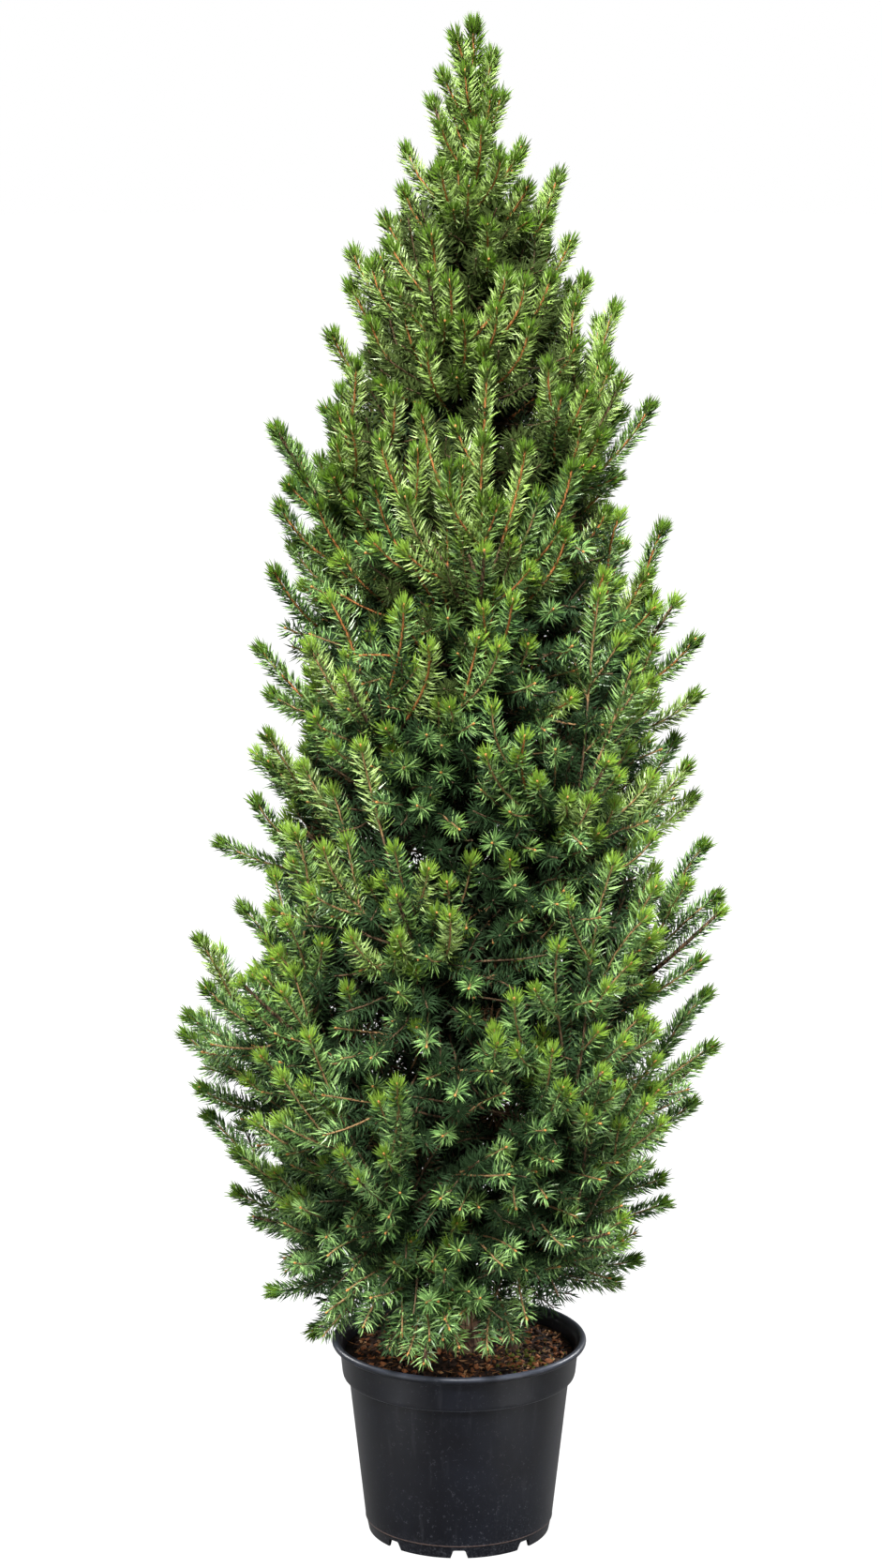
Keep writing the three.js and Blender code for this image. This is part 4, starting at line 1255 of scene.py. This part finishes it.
def plastic_finish(colours, pot):
    """Black satin plastic with scratches and dust, scuffs at the foot and a pale line at the seam, and
    painted highlights along the lip's top and the band's foot edge.
    """
    finish = Finish("black satin plastic", colours.plastic, 0.36, IOR=1.3)
    z = finish.height()
    broad = finish.clouds(9)
    patch = finish.clouds(34, detail=3)
    fine = finish.clouds(420, detail=3)
    streaks = finish.clouds(120, (1, 1, 0.07), detail=3)
    low = finish.spread(z, pot.height * 0.6, 0.0)
    foot = finish.spread(z, pot.seam_height * 1.9, pot.seam_height * 0.7)
    specks = finish.spread(finish.cells(210), 0.15, 0.06) * finish.spread(patch, 0.4, 0.56)
    specks = specks + finish.spread(finish.cells(110), 0.09, 0.04) * finish.spread(broad, 0.42, 0.56)
    waves = finish.clouds(130, detail=2) - 0.5
    breaks = finish.clouds(210, detail=1)
    scratches = finish.spread(waves * waves, 0.0005, 0.0) * finish.spread(breaks, 0.56, 0.66)
    # A pale blue-grey band along the lip's top: painted highlight, broken up in patches.
    lip = finish.spread(z, pot.height - 0.005, pot.height - 0.0012)
    wear = finish.spread(streaks, 0.56, 0.76) * 0.35 + foot * finish.spread(fine, 0.46, 0.66) * 0.6
    line = finish.spread(z, pot.seam_height - 0.0008, pot.seam_height - 0.0003)
    line = line * finish.spread(z, pot.seam_height + 0.0008, pot.seam_height + 0.0003)
    # A thin pale line at the band's foot edge: painted highlight.
    step = pot.height - pot.band_height
    edge = finish.spread(z, step - 0.0004, step + 0.0002) * finish.spread(z, step + 0.0022, step + 0.0008)
    colour = finish.blend(finish.spread(broad, 0.35, 0.7) * 0.6, colours.plastic, tint(18, 21, 29))
    colour = finish.blend(wear * 0.5, colour, tint(62, 63, 68))
    colour = finish.blend(lip * (0.3 + 0.3 * patch), colour, tint(74, 79, 90))
    colour = finish.blend(edge * (0.25 + 0.3 * patch), colour, tint(86, 90, 98))
    colour = finish.blend(scratches * (0.1 + 0.06 * low), colour, tint(110, 112, 120))
    colour = finish.blend(specks * (0.12 + 0.06 * low), colour, tint(140, 142, 148))
    colour = finish.blend(line * finish.spread(streaks, 0.2, 0.5) * 0.34, colour, tint(120, 98, 88))
    finish.feed("Base Color", colour)
    finish.feed("Roughness", 0.3 + broad * 0.12 + wear * 0.2 + specks * 0.2)
    finish.relief(fine * 0.6 + streaks * 0.5, 0.12, 0.0006)
    return finish.material


def soil_finish(colours):
    """Damp dark soil with paler crumbs."""
    finish = Finish("potting soil", colours.soil, 0.92, Specular_IOR_Level=0.25)
    broad = finish.clouds(45)
    crumbs = finish.cells(260)
    grit = finish.clouds(600, detail=2)
    colour = finish.blend(finish.spread(broad, 0.38, 0.66), tint(26, 17, 12), tint(76, 52, 35))
    pale = finish.spread(crumbs, 0.3, 0.05) * finish.spread(grit, 0.5, 0.7)
    colour = finish.blend(pale, colour, tint(160, 120, 84))
    finish.feed("Base Color", colour)
    finish.feed("Roughness", 0.84 + grit * 0.16)
    finish.relief(grit * 0.5 + crumbs * 0.8, 0.8, 0.003)
    return finish.material


def bark_finish(colours):
    """Flaky grey-brown bark, redder in its cracks."""
    finish = Finish("spruce bark", colours.old_twig, 0.88, Specular_IOR_Level=0.3)
    plates = finish.cells(110, (1, 1, 0.4))
    cracks = finish.cells(110, (1, 1, 0.4), "DISTANCE_TO_EDGE")
    broad = finish.clouds(30, (1, 1, 0.5))
    grain = finish.clouds(300, (1, 1, 0.25), detail=5)
    colour = finish.blend(finish.spread(broad, 0.35, 0.68), tint(74, 52, 38), tint(122, 98, 76))
    colour = finish.blend(finish.spread(grain, 0.5, 0.75) * 0.6, colour, tint(140, 96, 62))
    colour = finish.blend(finish.spread(cracks, 0.09, 0.01), colour, tint(46, 28, 19))
    finish.feed("Base Color", colour)
    finish.feed("Roughness", 0.78 + grain * 0.2)
    finish.relief(plates * 0.6 + grain * 0.5 + finish.spread(cracks, 0.0, 0.12), 0.9, 0.0022)
    return finish.material


class SPRUCE_OT_pot(bpy.types.Operator):
    """Turns the pot's fine profile, cuts the drain notches and gives it its plastic."""

    bl_idname = "spruce.pot"
    bl_label = "Pot"

    def execute(self, context):
        pot = context.scene.spruce_pot
        mesh = turned_mesh("pot_shell", self.profile(pot), 256)
        shell = new_object("pot_shell", mesh)
        cutter = new_object("notch_cutter", self.notches(pot))
        cut = shell.modifiers.new("notches", "BOOLEAN")
        cut.operation = "DIFFERENCE"
        cut.solver = "EXACT"
        cut.object = cutter
        plain_mesh(shell)
        bpy.data.objects.remove(cutter)
        shell.data.materials.clear()
        shell.data.materials.append(plastic_finish(context.scene.spruce_colours, pot))
        shell.data.shade_smooth()
        shell.data.set_sharp_from_angle(angle=math.radians(38))
        seat(shell, "pot", "pot")
        return {"FINISHED"}

    def profile(self, pot):
        """The wall in section, from under the floor round the lip to the top of the floor."""
        top, wall, roll = pot.height, pot.wall, pot.lip_roll
        band = top - pot.band_height
        step = 0.0042
        centre, level = pot.lip_radius - roll, top - roll
        inner = pot.band_top_radius - wall
        floor = 0.011
        rows = [
            (0, floor, 0),
            (pot.foot_radius - wall, floor, 0.001),
            (pot.foot_radius - wall, 0, 0.0006),
            (pot.foot_radius, 0, 0.0008),
            (pot.seam_radius - 0.0008, pot.seam_height - 0.0012, 0.0003),
            (pot.seam_radius + 0.0002, pot.seam_height - 0.0004, 0.0003),
            (pot.seam_radius + 0.0002, pot.seam_height + 0.0005, 0.0003),
            (pot.seam_radius + 0.0001, pot.seam_height + 0.0012, 0.0003),
            (pot.wall_top_radius, band, 0.0005),
            (pot.band_foot_radius - 0.001, band + 0.0008, 0.0012),
            (pot.band_foot_radius, band + step, 0.0022),
            (pot.band_top_radius, level - roll, 0.0012),
        ]
        for turn in np.radians(np.linspace(-78, 180, 14)):
            rows.append((centre + roll * math.cos(turn), level + roll * math.sin(turn), 0))
        rows += [
            (inner, level - roll, 0.0012),
            (pot.wall_top_radius - wall, band, 0.002),
            (pot.seam_radius - wall + 0.0002, floor + wall, 0.002),
            (0, floor + wall, 0),
        ]
        return rounded(rows)

    def notches(self, pot):
        """Prisms with rounded upper corners, to be cut out of the foot."""
        half, top = pot.notch_width / 2, pot.notch_height
        foot, below, corner, cut = 0.0095, -0.002, 0.0024, 0.012
        quarter = math.pi / 2
        outline = [(-foot, below), (foot, below)]
        for middle, start in ((half - corner, 0), (corner - half, quarter)):
            for turn in np.linspace(start, start + quarter, 5):
                outline.append((middle + corner * math.cos(turn), top - corner + corner * math.sin(turn)))
        count = len(outline)
        points, faces = [], []
        for i in range(NOTCHES):
            turn = math.radians(-90 + 360 / NOTCHES * i)
            first = len(points)
            for away in (pot.foot_radius - cut, pot.foot_radius + cut):
                for across, z in outline:
                    x = away * math.cos(turn) - across * math.sin(turn)
                    y = away * math.sin(turn) + across * math.cos(turn)
                    points.append((x, y, z))
            faces.append([first + k for k in reversed(range(count))])
            faces.append([first + count + k for k in range(count)])
            for k in range(count):
                after = (k + 1) % count
                faces.append([first + k, first + after, first + count + after, first + count + k])
        return mesh_from("notch_cutter", points, faces)


class SPRUCE_OT_soil(bpy.types.Operator):
    """Fills the pot with lumpy soil and strews it with chips, crumbs, fallen needles and moss."""

    bl_idname = "spruce.soil"
    bl_label = "Soil"

    def execute(self, context):
        colours = context.scene.spruce_colours
        bed = new_object("soil_bed", self.bed())
        bed.data.materials.append(soil_finish(colours))
        bed.data.shade_smooth()
        seat(bed, "soil", "soil")
        self.strew(colours)
        return {"FINISHED"}

    @staticmethod
    def level(x, y):
        """The soil's height at a place, with its lumps."""
        away = math.hypot(x, y)
        z = np.interp(away, SOIL_RINGS, SOIL_LEVELS)
        lump = noise.noise(Vector((x / LUMP_WIDTH, y / LUMP_WIDTH, 1.7))) * LUMP_HEIGHT
        crumb = noise.noise(Vector((x / CRUMB_WIDTH, y / CRUMB_WIDTH, 5.1))) * CRUMB_HEIGHT
        return float(z) + lump + crumb

    def bed(self):
        """The top grid, a side along the pot's wall and an underside."""
        top = [(SOIL_EDGE * share, 0) for share in np.linspace(1, 0.012, 62)]
        profile = [(0, SOIL_FLOOR), (SOIL_FLOOR_RADIUS, SOIL_FLOOR), *top, (0, 0)]
        mesh = turned_mesh("soil_bed", [(r * MM, z * MM) for r, z in profile], 180)
        for vertex in mesh.vertices:
            if vertex.co.z < SOIL_FLOOR / 2 * MM:
                x, y = vertex.co.x / MM, vertex.co.y / MM
                fade = min(max((SOIL_EDGE - math.hypot(x, y)) / 6, 0), 1)
                rest = SOIL_EDGE_HEIGHT
                vertex.co.z = (rest + (self.level(x, y) - rest) * fade) * MM
        return mesh

    def strew(self, colours):
        chance = np.random.default_rng(STREW_SEED)
        chips, chip_keys = lump_tree("bark chips", 0.0052)
        sprigs, sprig_keys = needle_tree()
        for name, count, shade, (small, large), thick in CHIPS:
            finish = Finish(name.replace("_", " "), tint(*shade), 0.85, Specular_IOR_Level=0.3)
            spots, aims, sides = self.places(chance, count, 0.55)
            long = chance.uniform(small, large, count)
            sizes = np.stack([long, long * chance.uniform(0.4, 0.75, count), long * thick * 0.6], axis=1)
            values = {"Sides": 6, "Finish": finish.material}
            seat(scattered(name, chips, chip_keys, spots, aims, sides, sizes, values), "soil")
        finish = Finish("fallen needles", tint(160, 112, 66), 0.7)
        count = FALLEN_NEEDLES
        spots, aims, sides = self.places(chance, count, 0.5)
        wide = np.full(count, 1.3)
        sizes = np.stack([wide, wide, chance.uniform(9, 17, count)], axis=1)
        values = {"Bow": 0.7, "Finish": finish.material}
        fallen = scattered("soil_fallen_needles", sprigs, sprig_keys, spots, sides, aims, sizes, values)
        seat(fallen, "soil")
        finish = Finish("moss", tint(98, 106, 44), 0.95, Specular_IOR_Level=0.2)
        spots, aims, sides = self.places(chance, MOSS_LUMPS, 0.6, middle=(62, -30), spread=24)
        long = chance.uniform(2, 5.5, MOSS_LUMPS)
        sizes = np.stack([long, long, long * 0.55], axis=1)
        values = {"Sides": 6, "Finish": finish.material}
        seat(scattered("soil_moss", chips, chip_keys, spots, aims, sides, sizes, values), "soil")

    def places(self, chance, count, tilt, middle=None, spread=0.0):
        """Seeded spots on the soil, each with its upward aim and a side."""
        spots = []
        while len(spots) < count:
            if middle:
                x, y = chance.normal(middle, spread)
            else:
                x, y = chance.uniform(-STREWN_TO - 2, STREWN_TO + 2, 2)
            if STREWN_FROM < math.hypot(x, y) < STREWN_TO:
                spots.append((x, y, self.level(x, y) + chance.uniform(0.1, 1.5)))
        aims = unit(np.stack([*chance.normal(0, tilt, (2, count)), np.ones(count)], axis=1))
        turns = chance.uniform(0, 2 * math.pi, count)
        sides = np.stack([np.cos(turns), np.sin(turns), chance.uniform(-0.1, 0.25, count)], axis=1)
        return np.array(spots), aims, unit(sides)


class SPRUCE_OT_bark(bpy.types.Operator):
    """Grows the trunk and its limbs as one piece with flaky relief."""

    bl_idname = "spruce.bark"
    bl_label = "Trunk and limbs"

    def execute(self, context):
        self.points, self.faces = [], []
        heights = np.concatenate([np.linspace(186, 240, 22), np.linspace(244, TRUNK_TIP + 4, 260)])
        axis = np.array([trunk_point(z) for z in heights])
        self.tube(axis, [trunk_radius(z) for z in heights], 26, 1.0)
        for limb in grown_crown(context).limbs:
            share = np.linspace(0, 1, 60)
            path = even_path(limb["path"], 60)
            wide = np.where(
                share < BOUGH_SHARE,
                BOUGH_ROOT_RADIUS + (STEM_RADIUS - BOUGH_ROOT_RADIUS) * (share / BOUGH_SHARE) ** 0.8,
                STEM_RADIUS + (LIMB_TIP_RADIUS - STEM_RADIUS) * (share - BOUGH_SHARE) / (1 - BOUGH_SHARE),
            )
            if not limb["has_bough"]:
                wide = STEM_RADIUS + (LIMB_TIP_RADIUS - STEM_RADIUS) * share
            self.tube(path, wide, 10, 0.45)
        mesh = mesh_from("trunk_and_limbs", np.array(self.points) * MM, self.faces)
        wood = new_object("trunk_and_limbs", mesh)
        wood.data.materials.append(bark_finish(context.scene.spruce_colours))
        wood.data.shade_smooth()
        seat(wood, "bark", *WOOD_NODES)
        return {"FINISHED"}

    def tube(self, path, radii, sides, relief):
        """A closed tube with rough bark along a path."""
        ways = unit(np.gradient(path, axis=0))
        first = len(self.points)
        for spot, across, over, radius in zip(path, *across_and_over(ways, abs(ways[0][2]) > STEEP), radii):
            for k in range(sides):
                turn = 2 * math.pi * k / sides
                out = across * math.cos(turn) + over * math.sin(turn)
                rough = noise.noise(Vector(spot * [0.05, 0.05, 0.11] + out * 2.2)) * 0.6
                rough += noise.noise(Vector(spot * 0.3 + out * 3.0)) * 0.5
                self.points.append(spot + out * (radius + relief * rough * min(radius / 5, 1)))
        rows = len(path)
        for j in range(rows - 1):
            for k in range(sides):
                after = (k + 1) % sides
                low, high = first + j * sides, first + (j + 1) * sides
                self.faces.append((low + k, low + after, high + after, high + k))
        self.faces.append([first + k for k in reversed(range(sides))])
        self.faces.append([first + (rows - 1) * sides + k for k in range(sides)])


class SPRUCE_OT_twigs(bpy.types.Operator):
    """Grows the young tan twigs and the older grey ones along their paths."""

    bl_idname = "spruce.twigs"
    bl_label = "Twigs"

    def execute(self, context):
        colours = context.scene.spruce_colours
        tree, keys = twig_tree()
        for age, sides in (("upper", 5), ("young", 5), ("old", 4)):
            mesh = self.paths(grown_crown(context).twigs[age], age)
            shade = getattr(colours, age + "_twig")
            finish = Finish(age + " twig bark", shade, 0.75, Specular_IOR_Level=0.3)
            piece = new_object("twigs_" + age, mesh)
            run_tree(piece, tree, keys, {"Sides": sides, "Finish": finish.material})
            seat(piece, "bark", *FOLIAGE_NODES)
        return {"FINISHED"}

    def paths(self, twigs, age):
        """All twig paths as one mesh of edges that carry their radius."""
        spots, edges, radii = [], [], []
        for path, foot, tip in twigs:
            first = len(spots)
            spots.extend(path * MM)
            edges.extend((first + k, first + k + 1) for k in range(len(path) - 1))
            radii.extend(np.linspace(foot, tip, len(path)) * MM)
        mesh = bpy.data.meshes.new("twigs_" + age)
        mesh.from_pydata([tuple(p) for p in spots], edges, [])
        carried = mesh.attributes.new("spray_radius", "FLOAT", "POINT")
        carried.data.foreach_set("value", np.array(radii, np.float32))
        return mesh


class SPRUCE_OT_needles(bpy.types.Operator):
    """Sets a needle on every point of the crown's sprays, one piece for each tone."""

    bl_idname = "spruce.needles"
    bl_label = "Needles"

    def execute(self, context):
        colours = context.scene.spruce_colours
        tree, keys = needle_tree()
        for tone, sprays in sorted(grown_crown(context).needles.items()):
            spots, aims, sides, scale = (np.concatenate(part) for part in zip(*sprays))
            roughness, gloss = (0.7, 0.12) if tone in SHADED_AND_OLD_TONES else (0.36, 0.5)
            finish = Finish("needles " + tone, getattr(colours, tone), roughness, Specular_IOR_Level=gloss)
            values = {"Bow": context.scene.spruce_crown.needle_bow, "Finish": finish.material}
            parts = math.ceil(len(spots) / MOST_NEEDLES)
            for part, rows in enumerate(np.array_split(np.arange(len(spots)), parts)):
                name = "needles_" + tone + (f"_{part + 1}" if parts > 1 else "")
                lot = (spots[rows], aims[rows], sides[rows], scale[rows])
                seat(scattered(name, tree, keys, *lot, values), "needles", *FOLIAGE_NODES)
        return {"FINISHED"}


class SPRUCE_OT_buds(bpy.types.Operator):
    """Puts a resting bud on the end of every shoot."""

    bl_idname = "spruce.buds"
    bl_label = "Buds"

    def execute(self, context):
        sizes = context.scene.spruce_crown
        finish = Finish("bud scales", context.scene.spruce_colours.bud, 0.6, Specular_IOR_Level=0.4)
        spots = np.array([spot for spot, _ in grown_crown(context).buds])
        aims = np.array([way for _, way in grown_crown(context).buds])
        sides = unit(np.cross(aims, [0.3, 0.5, 0.8]))
        wide, long = sizes.bud_width / MM, sizes.bud_length / MM
        scale = np.tile([wide, wide, long], (len(spots), 1))
        tree, keys = lump_tree("buds", None)
        values = {"Sides": 5, "Finish": finish.material}
        seat(scattered("buds", tree, keys, spots, aims, sides, scale, values), "bark", *FOLIAGE_NODES)
        return {"FINISHED"}


class SPRUCE_OT_stage(bpy.types.Operator):
    """Sets the pale floor, the soft light and the camera."""

    bl_idname = "spruce.stage"
    bl_label = "Stage"

    def execute(self, context):
        scene = context.scene
        turns = np.linspace(0, 2 * math.pi, FLOOR_SIDES, endpoint=False)
        rim = [(FLOOR_RADIUS * math.cos(t), FLOOR_RADIUS * math.sin(t), 0) for t in turns]
        floor = new_object("floor", mesh_from("floor", rim, [range(FLOOR_SIDES)]))
        floor.data.materials.append(self.pale_floor())
        self.white_room(scene, ROOM_LIGHT)
        for light in LIGHTS:
            self.soft_box(*light)
        data = bpy.data.cameras.new("camera")
        data.sensor_width = 36
        data.lens = CAMERA_LENS
        data.clip_end = 200
        camera = bpy.data.objects.new("camera", data)
        camera.location = CAMERA_PLACE
        camera.rotation_euler = (math.radians(90 - CAMERA_DOWN), 0, 0)
        scene.collection.objects.link(camera)
        scene.camera = camera
        scene.view_settings.view_transform = "Standard"
        return {"FINISHED"}

    def pale_floor(self):
        """A matt floor that shows nearly white and throws back only the light that falls on it."""
        pale = Finish("pale floor", (FLOOR_GREY, FLOOR_GREY, FLOOR_GREY), 0.9, Specular_IOR_Level=0.1)
        seen = pale.node("ShaderNodeLightPath")
        glow = pale.node("ShaderNodeEmission", {}, {"Strength": 1.7})
        plain = Wire(pale, pale.shader.outputs[0])
        mixed = pale.node("ShaderNodeMixShader", {}, {0: seen * 0.6, 1: plain, 2: glow})
        pale.tree.links.new(mixed.socket, pale.tree.nodes["Material Output"].inputs["Surface"])
        return pale.material

    def white_room(self, scene, light):
        """A room that shows white and lights the plant softly."""
        world = bpy.data.worlds.new("soft white room")
        world.use_nodes = True
        room = Board(world.node_tree)
        seen = room.node("ShaderNodeLightPath")
        strength = seen * (1 - light) + light
        background = world.node_tree.nodes["Background"]
        background.inputs["Color"].default_value = (1, 1, 1, 1)
        world.node_tree.links.new(strength.socket, background.inputs["Strength"])
        scene.world = world

    def soft_box(self, name, place, target, size, power, spread):
        data = bpy.data.lights.new(name, "AREA")
        data.size = size
        data.energy = power
        data.spread = math.radians(spread)
        light = bpy.data.objects.new(name, data)
        light.location = place
        light.rotation_euler = (Vector(target) - Vector(place)).to_track_quat("-Z", "Y").to_euler()
        light.visible_camera = False
        bpy.context.scene.collection.objects.link(light)


class SPRUCE_PT_panel(bpy.types.Panel):
    """Lists the sizes, the colours and the pieces."""

    bl_label = "Potted spruce"
    bl_idname = "SPRUCE_PT_panel"
    bl_space_type = "VIEW_3D"
    bl_region_type = "UI"
    bl_category = "Spruce"

    def draw(self, context):
        for group in (context.scene.spruce_pot, context.scene.spruce_crown, context.scene.spruce_colours):
            box = self.layout.box()
            for name in group.__annotations__:
                box.prop(group, name)
        for operator in OPERATORS:
            self.layout.operator(operator.bl_idname)


GROUPS = {"spruce_pot": SPRUCE_PG_pot, "spruce_crown": SPRUCE_PG_crown, "spruce_colours": SPRUCE_PG_colours}
OPERATORS = (
    SPRUCE_OT_stage,
    SPRUCE_OT_pot,
    SPRUCE_OT_soil,
    SPRUCE_OT_bark,
    SPRUCE_OT_twigs,
    SPRUCE_OT_needles,
    SPRUCE_OT_buds,
)


def register():
    for name, group in GROUPS.items():
        bpy.utils.register_class(group)
        setattr(bpy.types.Scene, name, bpy.props.PointerProperty(type=group))
    for item in (*OPERATORS, SPRUCE_PT_panel):
        bpy.utils.register_class(item)


def unregister():
    for item in (SPRUCE_PT_panel, *reversed(OPERATORS)):
        bpy.utils.unregister_class(item)
    for name, group in GROUPS.items():
        delattr(bpy.types.Scene, name)
        bpy.utils.unregister_class(group)


def main():
    register()
    bpy.ops.spruce.stage()
    bpy.ops.spruce.pot()
    bpy.ops.spruce.soil()
    bpy.ops.spruce.bark()
    bpy.ops.spruce.twigs()
    bpy.ops.spruce.needles()
    bpy.ops.spruce.buds()


if __name__ == "__main__":
    main()
